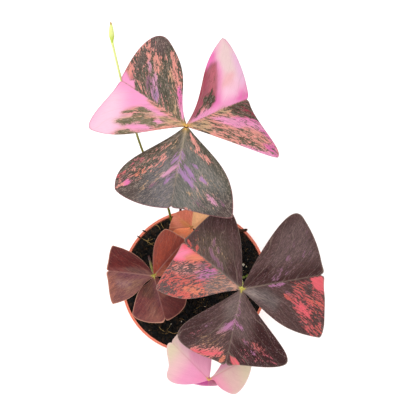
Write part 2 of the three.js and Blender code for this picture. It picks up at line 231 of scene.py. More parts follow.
STALK = {
    "radius": 0.6, "rhizome": "rhizome_back", "root_along": -9,
    "stem": [
        (-14.5, 36.6, 70), (-16.2, 40.3, 95), (-20.6, 46.6, 118), (-27.2, 56.4, 139), (-33.2, 72.6, 176),
    ],
    "bud_base": (-34.8, 79.6, 205), "bud_tip": (-33.8, 82.2, 216), "pale_from_to": (144, 166),
}
# radius of the bud at shares of its length
BUD_PROFILE = [
    (0, 0.6), (0.12, 0.7), (0.22, 1), (0.34, 1.15), (0.5, 1.13), (0.7, 0.85), (0.9, 0.5), (1, 0.15),
]

RHIZOME_RADIUS = 4
RHIZOMES = {
    "rhizome_back": {"centre": (-5.8, 23.5, 50), "length": 28, "heading": -52},
    "rhizome_middle": {"centre": (9.5, -7, 50), "length": 30, "heading": -88},
    "rhizome_left": {"centre": (-27, 12.5, 52), "length": 17, "heading": 60},
}

# ---------------------------------------------------------------- markings

# Marks are laid on in order, in a leaflet's own millimetres: x out along the midrib, y towards its left
# edge. Two points make a streak that reaches that far to each side, and more points make an area with an
# edge that soft. Each list is one leaflet, named after the leaf and the side that it lies on.


def ground(colour, amount, reach, *points):
    """Tints the leaf's plain tissue; some tints paint a sheen, some light and some shade."""
    return {"layer": "ground", "colour": colour, "amount": amount, "reach": reach, "points": points}


def fleck(colour, density, reach, *points):
    """Sets the colour and the density, from none to solid, of the bright flecks; a few dusky ones are partly
    painted shade.
    """
    return {"layer": "fleck", "colour": colour, "density": density, "reach": reach, "points": points}


LEFT_HALF = ((-2, 0), (-2, 45), (50, 45), (50, 0))
RIGHT_HALF = ((-2, 0), (-2, -45), (50, -45), (50, 0))

TALL_LEFT = [
    ground(OLIVE_TAN, 0.5, 3, (0, 0), (12, 0), (16, -12), (8, -9)),
    ground(PLUM, 0.8, 5, (29, -22), (38, -20), (42, -30), (30, -33)),
    ground(PLUM, 0.5, 4, (33, -5), (38, -5), (40, -20), (34, -18)),
    fleck(CORAL, 0.36, 1, *RIGHT_HALF),
    fleck(TAN, 0.5, 2, (2, -1), (9, -0.5), (13, -6), (12, -9), (7, -6)),
    fleck(CORAL, 0.12, 3, (27, -24), (38, -24), (41, -33), (28, -33)),
    fleck(CORAL, 0.1, 2, (31, -4), (37, -12), (38, -20), (33, -11)),
    fleck(TAN, 0.55, 1.6, (17, -13), (23, -19)),
    fleck(CORAL, 0.1, 2, (12, -1), (17, -1), (26, -14), (24, -18), (15, -8)),
    fleck(TAN, 0.35, 2, (24, -12), (30, -18)),
    fleck(CORAL, 0.85, 1.3, (12, -12), (20, -20)),
    fleck(CORAL, 0.8, 1.3, (19, -18), (26, -27)),
    fleck(CORAL, 0.75, 1.3, (25.5, -13), (32, -21)),
    fleck(CORAL, 0.7, 1, (31.5, -14), (39.5, -26)),
    fleck(CORAL, 0.6, 0.9, (28, -1.5), (31, -5)),
    fleck(CORAL, 0.5, 1.4, (14, -0.8), (20, -5)),
    fleck(LILAC, 0.85, 1.8, (19, -2), (24.5, -8.5)),
    fleck(DARK_VIOLET, 0.7, 1.2, (25, -4), (28, -9)),
    fleck(MAUVE, 0.75, 1, (22, -6), (26, -11.5)),
    fleck(MAUVE, 0.7, 1, (29.5, -12.5), (32, -15.5)),
    fleck(PINK, 1, 1.1, (3.5, -2.2), (12.5, -12.5)),
    fleck(HOT_PINK, 0.8, 0.8, (8, -6.5), (13, -13)),
    fleck(CORAL, 0.6, 0.8, (40.3, -12), (40.3, -25)),
    fleck(ROSE, 1, 1.2, (33, -3.5), (38, -10.5), (41, -11), (39, -4), (35, -3)),
    fleck(CORAL, 0.7, 1.2, (36, -5), (39.5, -10)),
    fleck(PINK, 1, 1.2, (29.5, 0), (32.5, -4), (34, -2.6), (38, -5), (40, -5), (39, 0)),
    ground(OLIVE_TAN, 0.8, 0.6, *LEFT_HALF),
    fleck(PINK, 1, 0.6, *LEFT_HALF),
    fleck(PALE_PINK, 1, 8, (24, 24), (28, 12), (33, 5), (40, 5), (40, 30), (28, 30)),
    fleck(CORAL, 0.72, 1.6, (0, 0), (6, 0.4), (16, 6), (24, 10), (23, 14), (17, 17.5), (9, 11)),
    fleck(TAN, 0.62, 1.2, (1, 0.6), (12, 4.5)),
    fleck(TAN, 0.3, 1, (9, 6), (14, 9)),
    fleck(TAN, 0.1, 1.9, (14, 8.4), (22.5, 13)),
    fleck(TAN, 0.12, 1.4, (20, 12), (27.2, 16.7)),
    fleck(TAN, 0.5, 1, (16, 4.5), (24, 8)),
    fleck(CORAL, 0.4, 0.9, (21, 5.5), (27.5, 12)),
    fleck(TAN, 0.2, 1.3, (16.5, 17), (24, 20.4)),
    fleck(CORAL, 0.4, 1, (19, 20.5), (25.5, 23)),
    fleck(CORAL, 0.75, 0.8, (3, 3.5), (22, 22.5)),
    fleck(PINK, 1, 1.5, (14.5, 11.8), (21.5, 15.8)),
    fleck(PINK, 0.95, 1, (11, 6), (13, 7.3)),
    fleck(PINK, 0.9, 1.1, (12, 1.4), (21, 4)),
    fleck(CORAL, 0.7, 0.8, (6, 0.6), (21, 0.8)),
]
TALL_RIGHT = [
    fleck(PINK, 1, 0.6, *LEFT_HALF),
    fleck(HOT_PINK, 1, 3, (16, 2), (21, 3), (27, 14), (30, 22), (27, 24), (22, 17)),
    fleck(PALE_PINK, 1, 4, (24, 4), (32, 4), (44, 12), (44, 24), (33, 22), (25, 8)),
    fleck(BLUSH, 1, 5, (31, 25), (41, 36), (45, 22), (40, 12), (31, 14)),
    fleck(shown("f6bcc0"), 1, 2, (28, 11), (34, 13.5)),
    fleck(shown("f6c2e0"), 1, 4, (38, 7), (45, 10), (46, 26), (41, 24), (38, 12)),
    fleck(HOT_PINK, 1, 1.7, (33.6, 1.8), (38.4, 2.2)),
    fleck(HOT_PINK, 1, 1.5, (23.5, 21.5), (30, 26.3)),
    fleck(PINK, 1, 1.3, (23, 9), (29.5, 20.5)),
    ground(BARK_BROWN, 0.6, 2, *LEFT_HALF),
    # partly painted shade: the dusky maroon and crimson flecks along the inner part of this half are partly
    # the tissue's own colour and partly shade where the half curls
    fleck(shown("aa6270"), 0.93, 1.6, (0, 0.5), (8, 2.5), (19, 5), (22, 9), (27, 18), (29.5, 22.3),
          (26.5, 22.6), (20, 19), (9, 9)),
    fleck(ROSE, 0.9, 1.6, (18, 7), (27, 20)),
    fleck(CRIMSON_ROSE, 1, 1.6, (4, 4), (21, 20)),
    fleck(DUSTY_ROSE, 0.3, 1.6, (5, 1.5), (13, 6.5), (13, 8.5), (18, 9), (20.5, 11.5), (19.5, 5.5),
          (15, 2.6)),
    fleck(CORAL, 0.8, 0.9, (10, 2.6), (13, 4)),
    fleck(PINK, 0.9, 1, (8, 1.2), (15, 2)),
    ground(OLIVE_TAN, 0.25, 1, *RIGHT_HALF),
    ground(BARK_BROWN, 0.8, 2, (22, 0), (38, 0), (38.6, -14), (30, -8)),
    fleck(CORAL, 0.76, 0.6, *RIGHT_HALF),
    fleck(TAN, 0.66, 1.8, (0, 0), (11, -1), (12, -8), (8, -8)),
    fleck(CORAL, 0.5, 1.4, (11.5, -7), (17, -10)),
    fleck(CORAL, 0.5, 1.5, (15, -12), (20, -17)),
    fleck(CORAL, 0.42, 1.7, (20.5, -14.5), (30, -25)),
    fleck(CORAL, 0.55, 1.2, (24, -12), (29, -16)),
    fleck(PINK, 0.9, 1.6, (13, -1.5), (19, -3), (22, -5), (29, -8.5), (37, -12), (24, -12), (18, -7)),
    fleck(HOT_PINK, 0.85, 1.4, (26, -7.5), (37, -13.5)),
    fleck(HOT_PINK, 0.74, 2, (33, -13), (39, -16), (41, -27), (35, -21)),
    fleck(CORAL, 0.6, 1, (34, -18), (38, -27)),
    fleck(DUSTY_ROSE, 0.3, 1.2, (25, 0), (38, 0), (39, -7), (38.6, -13), (34, -9.5), (29, -7.5),
          (25, -4.5)),
    fleck(CRIMSON_ROSE, 0.75, 1.1, (33, -3.5), (37, -8.5)),
    fleck(TAN, 0.45, 1, (18, -0.8), (26, -1.4)),
    fleck(HOT_PINK, 0.7, 2, (33, -24), (40, -26), (39, -34), (35, -31)),
    fleck(CORAL, 0.9, 0.9, (8, -8.6), (34, -31)),
    fleck(PINK, 0.95, 0.9, (20, -19.6), (37, -32.4)),
    fleck(PINK, 0.84, 1.2, (24, -7.5), (39, -17)),
]
TALL_FRONT = [
    # partly painted sheen: the grey-purple over the outer parts of both halves is partly the tissue's own
    # colour and partly the light's soft reflection
    ground(shown("706c72"), 0.9, 8, (14, -6), (30, 2), (44, 0), (44, -20), (30, -18)),
    ground(SLATE_SHEEN, 0.9, 7, (8, 2), (14, 12), (24, 24), (34, 28), (44, 22), (44, 0)),
    ground(PLUM, 0.8, 4, (32, 26), (44, 20), (44, 33), (32, 33)),
    ground(PLUM, 0.6, 4, (28, -20), (42, -18), (40, -34), (30, -32)),
    ground(BARK_BROWN, 0.7, 2.5, (4, -5), (20, -23)),
    # the pale streak along the midrib is partly painted sheen, and the grey-lilac near the hub is painted
    # sheen
    ground(shown("a09c88"), 0.6, 0.7, (0, 0), (24, 0.3)),
    ground(GREY_LILAC_SHEEN, 0.3, 4, (0, 0), (12, 2), (24, 1), (24, -1), (12, -3)),
    ground(UMBER, 0.55, 6, (28, 17), (36, 13), (46, 11), (46, 34), (28, 32)),
    ground(UMBER, 0.45, 6, (26, -17), (40, -8), (46, -20), (40, -36), (26, -32)),
    fleck(TAN, 0.22, 3, (20, 9), (38, 10), (38, 24), (22, 22)),
    fleck(TAN, 0.18, 3, (4, 1), (14, 2), (12, 8)),
    fleck(CORAL, 0.85, 1.1, (3.4, 2.8), (10, 8.4)),
    fleck(CORAL, 0.72, 0.9, (10, 7.5), (14.5, 15)),
    fleck(CORAL, 0.7, 0.7, (9.5, 4.5), (17, 17.5)),
    fleck(LILAC, 0.95, 1.5, (19, 3.4), (23.3, 8.2)),
    fleck(LILAC, 1, 1.8, (22.6, 3), (27.6, 8.8)),
    fleck(LILAC, 1, 0.9, (21, 11.2), (24.3, 11.2), (26.2, 15.8), (24.8, 15.8)),
    fleck(LILAC, 0.7, 0.9, (17, 6.4), (18.6, 9.6)),
    fleck(MAUVE, 0.85, 1.4, (31, 17.4), (34.6, 21.4)),
    fleck(DARK_VIOLET, 0.9, 1, (32.2, 23), (34.6, 25.8)),
    fleck(DARK_VIOLET, 0.45, 1.8, (34, 11), (36.5, 15)),
    fleck(TAN, 0.75, 0.9, (31, 6.5), (31.6, 9)),
    fleck(CORAL, 0.7, 0.8, (39.2, 7), (40, 10)),
    fleck(CORAL, 0.36, 2.4, (5, -2.5), (14, -3), (24, -10), (30, -18), (38, -30), (32, -31), (20, -22)),
    fleck(TAN, 0.3, 2.6, (8, -1.5), (18, -5), (14, -8), (6, -4)),
    fleck(CORAL, 0.7, 0.8, (15, -5), (18, -9.5)),
    fleck(CORAL, 0.6, 0.7, (21, -11), (24, -15)),
    fleck(TAN, 0.45, 0.8, (24, -7), (29, -13)),
    fleck(TAN, 0.4, 1.8, (26, -9), (35, -17)),
    fleck(ORANGE_CORAL, 0.72, 1.1, (25.6, -17.4), (28.4, -20.6)),
    fleck(ROSE, 0.6, 1.5, (20, -19), (24, -24)),
    fleck(HOT_PINK, 1, 1.2, (32.4, -24), (35, -27.2)),
    fleck(CORAL, 0.7, 1, (35, -27.5), (37.6, -30.8)),
    fleck(HOT_CORAL, 0.72, 1, (29, -27.6), (32, -30.8)),
    fleck(LILAC, 0.6, 2.2, (12, 0.6), (22, 0.8)),
    fleck(LILAC, 0.75, 1.6, (15, -1.5), (19, -3)),
    fleck(MAUVE, 1, 1.2, (20.2, -1.4), (25.6, -6.6)),
    fleck(LILAC, 0.9, 1, (23.5, -0.6), (29, -5.3)),
    fleck(DARK_VIOLET, 0.65, 1, (30, -9.5), (33, -13)),
]

RIGHT_OUTER = [
    ground(GREY_MAUVE, 0.95, 7, (16, 9), (42, 10), (42, 32), (28, 27)),
    ground(DARK_MAROON, 0.6, 3, (3, 1.4), (20, 0.8)),
    ground(DARK_MAROON, 0.7, 3, (20, 0.8), (44, 2)),
    fleck(DARK_VIOLET, 0.16, 4, (16, 2), (44, 8), (44, 30), (24, 20)),
    fleck(DARK_VIOLET, 0.65, 1, (16, 1.8), (18.5, 4.6)),
    fleck(DARK_VIOLET, 0.8, 0.8, (18.6, 1.6), (21.6, 6)),
    fleck(DARK_VIOLET, 0.85, 0.8, (25.6, 10), (27.6, 12.4)),
    fleck(DARK_VIOLET, 0.7, 0.7, (23.2, 3.4), (24.8, 4.8)),
    fleck(DARK_VIOLET, 0.75, 0.7, (35, 11), (36.4, 13.4)),
    # painted sheen: a broad grey patch and a paler grey-lilac one near the hub stand for the light's
    # reflection on this half
    ground(shown("6e6260"), 0.95, 6, (0, -1), (12, -2), (18, -9), (15, -14), (6, -7)),
    ground(GREY_LILAC_SHEEN, 0.9, 4, (0, -0.5), (6, -1), (9, -6), (5, -5)),
    ground(DARK_MAROON, 0.85, 4, (3, 2.5), (14, 3), (18, 10), (8, 7)),
    ground(DARK_MAROON, 0.35, 5, (22, -18), (36, -30), (28, -28)),
    fleck(VIOLET, 0.8, 1.2, (14, -0.9), (21, -1)),
    fleck(DARK_VIOLET, 0.7, 1.1, (21.5, -5), (27, -12)),
    fleck(ROSE_CORAL, 0.54, 2.6, (25, -1), (36, -2), (43.5, -3), (42.5, -20), (38, -33), (33, -31),
          (24, -14)),
    fleck(RED_CORAL, 0.14, 2, (30, -4), (35.5, -4), (36, -9), (33, -9)),
    fleck(RED_CORAL, 0.3, 2, (34, -18), (39, -16), (37, -28), (34, -24)),
    fleck(RED_CORAL, 0.75, 1.1, (20.8, -7), (24.2, -10)),
    fleck(RED_CORAL, 0.5, 1.1, (25, -1.5), (30, -5)),
    fleck(HOT_CORAL, 0.86, 1.5, (27, -12.5), (32.6, -19.4)),
    fleck(RED_CORAL, 0.78, 1, (33, -11.5), (41.5, -16.5)),
    fleck(ROSE_CORAL, 0.62, 1.2, (28, -22), (34, -30.5)),
    fleck(RED_CORAL, 0.55, 1.1, (36, -26), (39, -30.5)),
    fleck(HOT_CORAL, 0.93, 1.4, (35, -0.4), (37, -6), (39.5, -8), (43.5, -10), (44, -2.5), (42, -0.4)),
]
RIGHT_FRONT = [
    ground(GREY_MAUVE, 0.9, 6, (2, 0), (24, 0), (26, 8), (14, 9)),
    ground(DARK_MAROON, 1, 7, (14, 11), (30, 12), (42, 12), (42, 36), (30, 32)),
    ground(DARK_MAROON, 0.8, 5, (28, 2), (44, 2), (44, 16), (30, 14)),
    # painted sheen near the hub
    ground(GREY_LILAC_SHEEN, 0.45, 8, (0, 0), (14, 0), (18, -5), (10, -7)),
    ground(DARK_MAROON, 0.7, 7, (16, -13), (30, -16), (44, -24), (38, -34), (28, -30)),
    fleck(ROSE, 0.24, 3, (24, 4), (40, 6), (40, 24), (28, 14)),
    fleck(shown("ba6866"), 0.62, 2, (28, 12.6), (34, 20)),
    fleck(DUSTY_ROSE, 0.5, 1.4, (34, 20), (39.5, 26.5)),
    fleck(VIOLET, 0.75, 0.8, (32, 11.6), (34.6, 14.2)),
    fleck(DARK_VIOLET, 0.7, 1, (27, 7.4), (28.6, 9)),
    fleck(VIOLET, 0.75, 1.2, (17.4, 1.4), (21, 4.8)),
    fleck(HOT_CORAL, 0.95, 1.2, (35.4, 0.8), (37.2, 5), (40.5, 7.6), (42.5, 7.6), (42.4, 4), (39, 2)),
    fleck(VIOLET, 0.42, 1.6, (7, 0.3), (22, 0.2)),
    fleck(VIOLET, 1, 1.9, (18.5, -1.6), (26.5, -7)),
    fleck(VIOLET, 0.95, 1.2, (26, -7), (31, -11.5)),
    fleck(DARK_VIOLET, 0.6, 1.1, (22, -12), (28.4, -18.4)),
    fleck(DARK_VIOLET, 0.5, 1.2, (27, -2), (33, -7)),
    fleck(shown("a88468"), 0.34, 5, (24, -3), (36, -2), (38, -20), (30, -18)),
    fleck(CORAL, 0.58, 2.6, (32, -3), (37, -2), (44, -10), (45, -24), (40, -22), (36, -14)),
    fleck(ROSE, 0.25, 2.4, (28, -15), (36, -22), (36, -26), (30, -21)),
    fleck(ORANGE_CORAL, 0.85, 1.2, (37.6, -1.4), (41.6, -3.6)),
    fleck(HOT_CORAL, 0.92, 1.5, (36.4, -4.6), (41, -13)),
    fleck(HOT_CORAL, 0.88, 1.3, (40, -12.5), (43.4, -21)),
]
RIGHT_BACK = [
    ground(GREY_MAUVE, 1, 4, *LEFT_HALF),
    # painted sheen near the hub
    ground(GREY_LILAC_SHEEN, 0.4, 5, (0, 0), (18, 0), (18, 14), (8, 10)),
    fleck(RED_CORAL, 0.56, 0.6, *LEFT_HALF),
    fleck(shown("c08c78"), 0.5, 3, (0, 0), (14, 0.5), (16, 10), (12, 15)),
    fleck(shown("cc9c88"), 0.66, 1.5, (0, 0.5), (7, 3)),
    fleck(ORANGE_CORAL, 0.8, 1.8, (16, 14.4), (23, 18.6)),
    fleck(RED_CORAL, 0.8, 1.4, (21, 20), (29, 26)),
    fleck(VIOLET, 0.75, 1.4, (15.5, 2.6), (20.5, 9)),
    fleck(shown("cc7cb0"), 0.7, 1.2, (17, 2), (23.5, 8)),
    fleck(DARK_VIOLET, 0.65, 1.4, (22.5, 3), (28.6, 11.6)),
    fleck(RED_CORAL, 0.75, 1.1, (30, 16.5), (33.5, 21)),
    fleck(RED_CORAL, 0.7, 1.4, (36.6, 14.5), (38.4, 26)),
    fleck(CORAL, 0.4, 1.8, (25, 7), (35, 14)),
    fleck(RED_CORAL, 0.25, 2, (30, 24), (36, 28)),
    fleck(HOT_CORAL, 1, 0.9, (24.5, 0.6), (28, 3.6), (33, 8), (37, 10.5), (39.2, 11), (40, 1.5), (38, 0.6)),
    fleck(ORANGE_CORAL, 0.95, 1.6, (26, 1.4), (34, 5.5)),
    fleck(shown("fb8ca8"), 1, 2.2, (35, 4), (38.4, 8)),
    ground(MOSS_GREY, 0.38, 9, (10, 0), (32, 0), (38, -10), (26, -16), (14, -10)),
    ground(DARK_MAROON, 0.5, 4, (1, -1.5), (12, -2), (16, -9), (8, -7)),
    ground(DARK_MAROON, 0.5, 5, (16, -18), (28, -30), (36, -32), (41, -16), (36, -18), (28, -23)),
    fleck(RED_CORAL, 0.16, 3, (24, -1), (39, -1), (41, -12), (32, -9)),
    fleck(TAN, 0.12, 4, (10, -4), (34, -4), (36, -12), (22, -14)),
    fleck(DARK_VIOLET, 0.85, 1.5, (15, -2), (20.4, -3.6)),
    fleck(DARK_VIOLET, 0.85, 1, (21, -2.4), (26.6, -6.8)),
    fleck(DARK_VIOLET, 0.75, 0.8, (21, -7), (23.4, -9.6)),
    fleck(DARK_VIOLET, 0.8, 0.9, (25.4, -8), (28, -11.6)),
    fleck(RED_CORAL, 0.85, 0.9, (30.6, -1), (32, -2.6)),
    fleck(RED_CORAL, 0.7, 0.9, (34.6, -0.8), (38.4, -2.2)),
]

LEFT_OUTER = [
    # painted light and shade: the left half is painted lighter, partly a painted sheen, and the right half
    # darker, partly painted shade, as the light falls on the two folded halves; the rest is the tissue's own
    # colour
    ground(ROSEWOOD, 1, 3, *LEFT_HALF),
    ground(shown("8e6456"), 0.7, 4, (4, 1), (12, 3), (17, 9), (14, 13), (7, 6)),
    ground(shown("a07470"), 0.7, 4, (12, 5), (22, 5), (20, 9), (14, 9)),
    ground(SALMON_BROWN, 0.65, 5, (22, 3), (30, 3), (30, 24), (22, 24)),
    ground(shown("7a4a50"), 0.9, 1.8, (4, 0.8), (19, 1.6)),
    ground(OXBLOOD, 0.85, 3, (1, -3), (10, -4), (30, -2), (31, -20), (8, -12)),
    ground(OXBLOOD * 0.75, 0.9, 4, (6, -5), (16, -7), (18, -14), (10, -10)),
    ground(shown("7a5650"), 0.8, 2.2, (3, -1.6), (15, -2.4)),
]
LEFT_FRONT = [
    ground(shown("985f54"), 0.9, 4, (4, 1), (14, 1), (14, 6), (8, 6)),
    ground(OXBLOOD, 0.4, 5, (14, 6), (30, 5), (30, 20), (18, 18)),
    ground(shown("624038"), 0.9, 4, (0, -0.5), (12, -1), (14, -6), (12, -12), (4, -8)),
    ground(shown("805048"), 0.8, 5, (14, -3), (28, -3), (27, -10), (18, -10)),
    ground(shown("70383a"), 0.7, 3, (14, -12), (22, -12), (26, -20), (14, -18)),
    ground(SALMON_BROWN, 0.3, 3, (24, 0), (32, 0), (28, -14), (24, -10)),
    ground(shown("704448"), 0.6, 1.6, (5, -0.8), (17, -1.4)),
]
LEFT_BACK = [
    ground(shown("a04636"), 0.9, 3, *LEFT_HALF),
    ground(OXBLOOD, 0.5, 4, (2, -1), (28, -1), (27, 4), (8, 3)),
    ground(BRICK * 0.85, 0.9, 3, *RIGHT_HALF),
    ground(shown("a8604e"), 0.85, 3, (0, -0.5), (8, -1), (9, -6), (3, -5)),
]

# painted light: the young leaf's tissue is painted brighter than its own colour, by up to about half again,
# to offset the shade of the tall leaf over it
YOUNG_LEFT = [
    ground(shown("f08870"), 0.9, 2, *RIGHT_HALF),
    ground(shown("e08670"), 0.8, 2, *LEFT_HALF),
    ground(shown("b8644c"), 0.7, 3, (8, 6), (12, 4), (12, 12), (7, 12)),
    ground(shown("d8884c"), 0.7, 2, (1, 0.6), (6, 1)),
]
YOUNG_FRONT = [
    ground(ORANGE * 1.5, 1, 3, *LEFT_HALF),
    ground(ORANGE * 1.55, 1, 2, *RIGHT_HALF),
    ground(shown("fca886") * 1.2, 0.8, 2, (5, -1.5), (11, -2), (11, -6), (6, -5)),
]
YOUNG_RIGHT = [
    ground(APRICOT * 1.06, 0.95, 3, *LEFT_HALF),
    ground(APRICOT, 0.8, 3, *RIGHT_HALF),
]

FRONT_LEFT = [
    ground(shown("eebcc2"), 0.9, 8, (-2, 22), (-2, -5), (23, -5), (20, 16)),
    ground(shown("f09ec0"), 1, 9, (-4, 16), (-4, -2), (15, -2), (13, 15)),
    ground(shown("f48eb8"), 0.6, 6, (-2, 5), (-2, 0), (6, 0), (6, 6)),
    # painted light: this half is lightened a little, and more near the midrib towards its tip, where the
    # right leaf shades it
    ground(shown("eea2be") * 1.04, 1, 2, (-2, -0.6), (24, -2), (26, -26), (0, -16)),
    ground(shown("f0c8cc"), 0.8, 5, (17, -1), (28, -1), (28, -14), (20, -10)),
]
FRONT_RIGHT = [
    ground(shown("e2b2b2"), 0.8, 9, (-2, 0), (18, 0), (14, -16), (-2, -14)),
    ground(shown("e89cb0"), 0.9, 6, (-1, 1), (8, 1), (8, -12), (-1, -12)),
    ground(shown("ee78a4"), 0.7, 4, (-1, 1), (4, 1), (3, -8), (-1, -8)),
    ground(CREAM * 0.93, 1, 0.6, *LEFT_HALF),
    ground(shown("dc96b0"), 1, 7, (-2, 0.4), (15, 0.4), (15, 20), (0, 14)),
]
FRONT_HANGING = [
    ground(shown("b4447a"), 1, 2, (-4, -30), (-4, 30), (30, 30), (30, -30)),
    ground(shown("ac5470"), 1, 4, *LEFT_HALF),
    ground(shown("bc2c84"), 1, 4, *RIGHT_HALF),
    ground(SOFT_PINK, 0.75, 9, (13, -20), (13, 20), (30, 20), (30, -20)),
]

MARKINGS = {
    "leaf_tall": {"ground": OLIVE, "leaflets": [TALL_LEFT, TALL_RIGHT, TALL_FRONT]},
    "leaf_right": {"ground": MAROON, "leaflets": [RIGHT_OUTER, RIGHT_FRONT, RIGHT_BACK]},
    "leaf_left": {"ground": RUSSET, "leaflets": [LEFT_OUTER, LEFT_FRONT, LEFT_BACK]},
    "leaf_young": {"ground": ORANGE, "leaflets": [YOUNG_LEFT, YOUNG_FRONT, YOUNG_RIGHT]},
    "leaf_front": {"ground": CREAM, "leaflets": [FRONT_LEFT, FRONT_RIGHT, FRONT_HANGING]},
}

# ---------------------------------------------------------------- small tools


def smoothstep(low, high, value):
    t = np.clip((value - low) / (high - low), 0, 1)
    return t * t * (3 - 2 * t)


def cubic(p0, p1, p2, p3, t):
    """Points of a cubic Bezier curve at the parameters t."""
    t = np.asarray(t)[:, None]
    return (1 - t) ** 3 * p0 + 3 * t * (1 - t) ** 2 * p1 + 3 * t ** 2 * (1 - t) * p2 + t ** 3 * p3


def direction(degrees):
    return np.array([math.cos(math.radians(degrees)), math.sin(math.radians(degrees))])


def turned(points, angle):
    """Points turned about Z by an angle in radians."""
    x, y, z = points.T
    cosine, sine = math.cos(angle), math.sin(angle)
    return np.stack([x * cosine - y * sine, x * sine + y * cosine, z], axis=1)


def make_object(name, points, faces, attributes=None, smooth=True):
    """A mesh object from points in millimetres; each attribute has a value or a vector for each point."""
    mesh = bpy.data.meshes.new(name)
    mesh.from_pydata((np.asarray(points) * MM).tolist(), [], faces)
    mesh.validate()
    mesh.polygons.foreach_set("use_smooth", [smooth] * len(mesh.polygons))
    for key, values in (attributes or {}).items():
        values = np.asarray(values, dtype=np.float32)
        kind = ("FLOAT", "value") if values.ndim == 1 else ("FLOAT_VECTOR", "vector")
        layer = mesh.attributes.new(key, kind[0], "POINT")
        layer.data.foreach_set(kind[1], values.ravel())
    mesh.update()
    made = bpy.data.objects.new(name, mesh)
    bpy.context.scene.collection.objects.link(made)
    return made


def add_piece(made, material, slot, *nodes):
    """Gives a piece its material, hangs it on the body and hides the CAD nodes that it stands for; its slot
    in the record is not used.
    """
    made.data.materials.append(material)
    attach(made, BODY)
    if nodes:
        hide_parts(*nodes)


class Mesh:
    """Gathers several closed bodies, with their point attributes, into one mesh."""

    def __init__(self):
        self.points = []
        self.faces = []
        self.attributes = {}
        self.count = 0

    def add(self, points, faces, **attributes):
        self.points.append(np.asarray(points, float))
        self.faces += [tuple(i + self.count for i in face) for face in faces]
        self.count += len(points)
        for key, values in attributes.items():
            values = np.asarray(values, float)
            if values.ndim == 0 or (values.ndim == 1 and len(values) != len(points)):
                values = np.broadcast_to(values, (len(points),) + values.shape)
            self.attributes.setdefault(key, []).append(values)

    def build(self, name, smooth=True):
        joined = {key: np.concatenate(values) for key, values in self.attributes.items()}
        return make_object(name, np.concatenate(self.points), self.faces, joined, smooth)


def grid_faces(rows, columns, closed=False):
    """Quads of a grid of points; closed joins the last column to the first."""
    faces = []
    for row in range(0, (rows - 1) * columns, columns):
        for j in range(columns if closed else columns - 1):
            k = (j + 1) % columns
            faces.append((row + j, row + k, row + columns + k, row + columns + j))
    return faces


def catmull_rom(points, count, steps=24):
    """A centripetal Catmull-Rom curve through the points, as evenly spaced points along it."""
    p = [np.asarray(q, float) for q in points]
    p = [2 * p[0] - p[1], *p, 2 * p[-1] - p[-2]]
    path = []
    for a, b, c, d in zip(p, p[1:], p[2:], p[3:]):
        t1 = np.linalg.norm(b - a) ** 0.5
        t2 = t1 + np.linalg.norm(c - b) ** 0.5
        t3 = t2 + np.linalg.norm(d - c) ** 0.5
        for t in np.linspace(t1, t2, steps, endpoint=False):
            a1 = (t1 - t) / t1 * a + t / t1 * b
            a2 = (t2 - t) / (t2 - t1) * b + (t - t1) / (t2 - t1) * c
            a3 = (t3 - t) / (t3 - t2) * c + (t - t2) / (t3 - t2) * d
            b1 = (t2 - t) / t2 * a1 + t / t2 * a2
            b2 = (t3 - t) / (t3 - t1) * a2 + (t - t1) / (t3 - t1) * a3
            path.append((t2 - t) / (t2 - t1) * b1 + (t - t1) / (t2 - t1) * b2)
    path = np.array([*path, p[-2]])
    run = np.concatenate([[0], np.cumsum(np.linalg.norm(np.diff(path, axis=0), axis=1))])
    even = np.linspace(0, run[-1], count)
    return np.stack([np.interp(even, run, path[:, k]) for k in range(3)], axis=1)


def tube(path, radii, sides):
    """Points and faces of a closed round tube along a path, with rings that don't twist."""
    path = np.asarray(path, float)
    tangents = np.gradient(path, axis=0)
    tangents /= np.linalg.norm(tangents, axis=1)[:, None]
    # no tube starts along this direction
    side = np.cross(tangents[0], [0.3, 1, 0.2])
    points = []
    angles = np.linspace(0, 2 * math.pi, sides, endpoint=False)
    for centre, tangent, radius in zip(path, tangents, radii):
        side = side - tangent * np.dot(side, tangent)
        side /= np.linalg.norm(side)
        other = np.cross(tangent, side)
        points += [centre + radius * (math.cos(a) * side + math.sin(a) * other) for a in angles]
    faces = grid_faces(len(path), sides, closed=True)
    last = (len(path) - 1) * sides
    faces.append(tuple(range(sides - 1, -1, -1)))
    faces.append(tuple(last + i for i in range(sides)))
    return np.array(points), faces


def ball_faces(rings, sides):
    """Faces of a ball whose points are a bottom pole, rings of points upwards and a top pole."""
    faces = [(0, 1 + (j + 1) % sides, 1 + j) for j in range(sides)]
    for i in range(rings - 1):
        for j in range(sides):
            a, b = 1 + i * sides + j, 1 + i * sides + (j + 1) % sides
            faces.append((a, b, b + sides, a + sides))
    top, start = 1 + rings * sides, 1 + (rings - 1) * sides
    faces += [(top, start + j, start + (j + 1) % sides) for j in range(sides)]
    return faces


def lathe(profile, sides):
    """Points and faces of a closed body turned about Z, from (radius, height) pairs upwards from Z to Z."""
    points = [(0, 0, profile[0][1])]
    for radius, height in profile[1:-1]:
        for j in range(sides):
            turn = 2 * math.pi * j / sides
            points.append((radius * math.cos(turn), radius * math.sin(turn), height))
    points.append((0, 0, profile[-1][1]))
    return np.array(points), ball_faces(len(profile) - 2, sides)


def ball(rings, sides):
    """Points and faces of a unit ball about the origin."""
    lifts = [math.pi * i / (rings + 1) - math.pi / 2 for i in range(1, rings + 1)]
    return lathe([(0, -1), *[(math.cos(lift), math.sin(lift)) for lift in lifts], (0, 1)], sides)


def stretched(unit, along, side, up, sizes):
    """A unit ball's points stretched along three directions, its poles along the first."""
    return unit[:, 2:] * along * sizes[0] + unit[:, :1] * side * sizes[1] + unit[:, 1:2] * up * sizes[2]


# ---------------------------------------------------------------- leaves

# how strongly a hub tints the leaflets round it, and how much wider than the flecks their colour is laid on
HUB_SHARE = 0.8
FLECK_COLOUR_REACH = 1.4

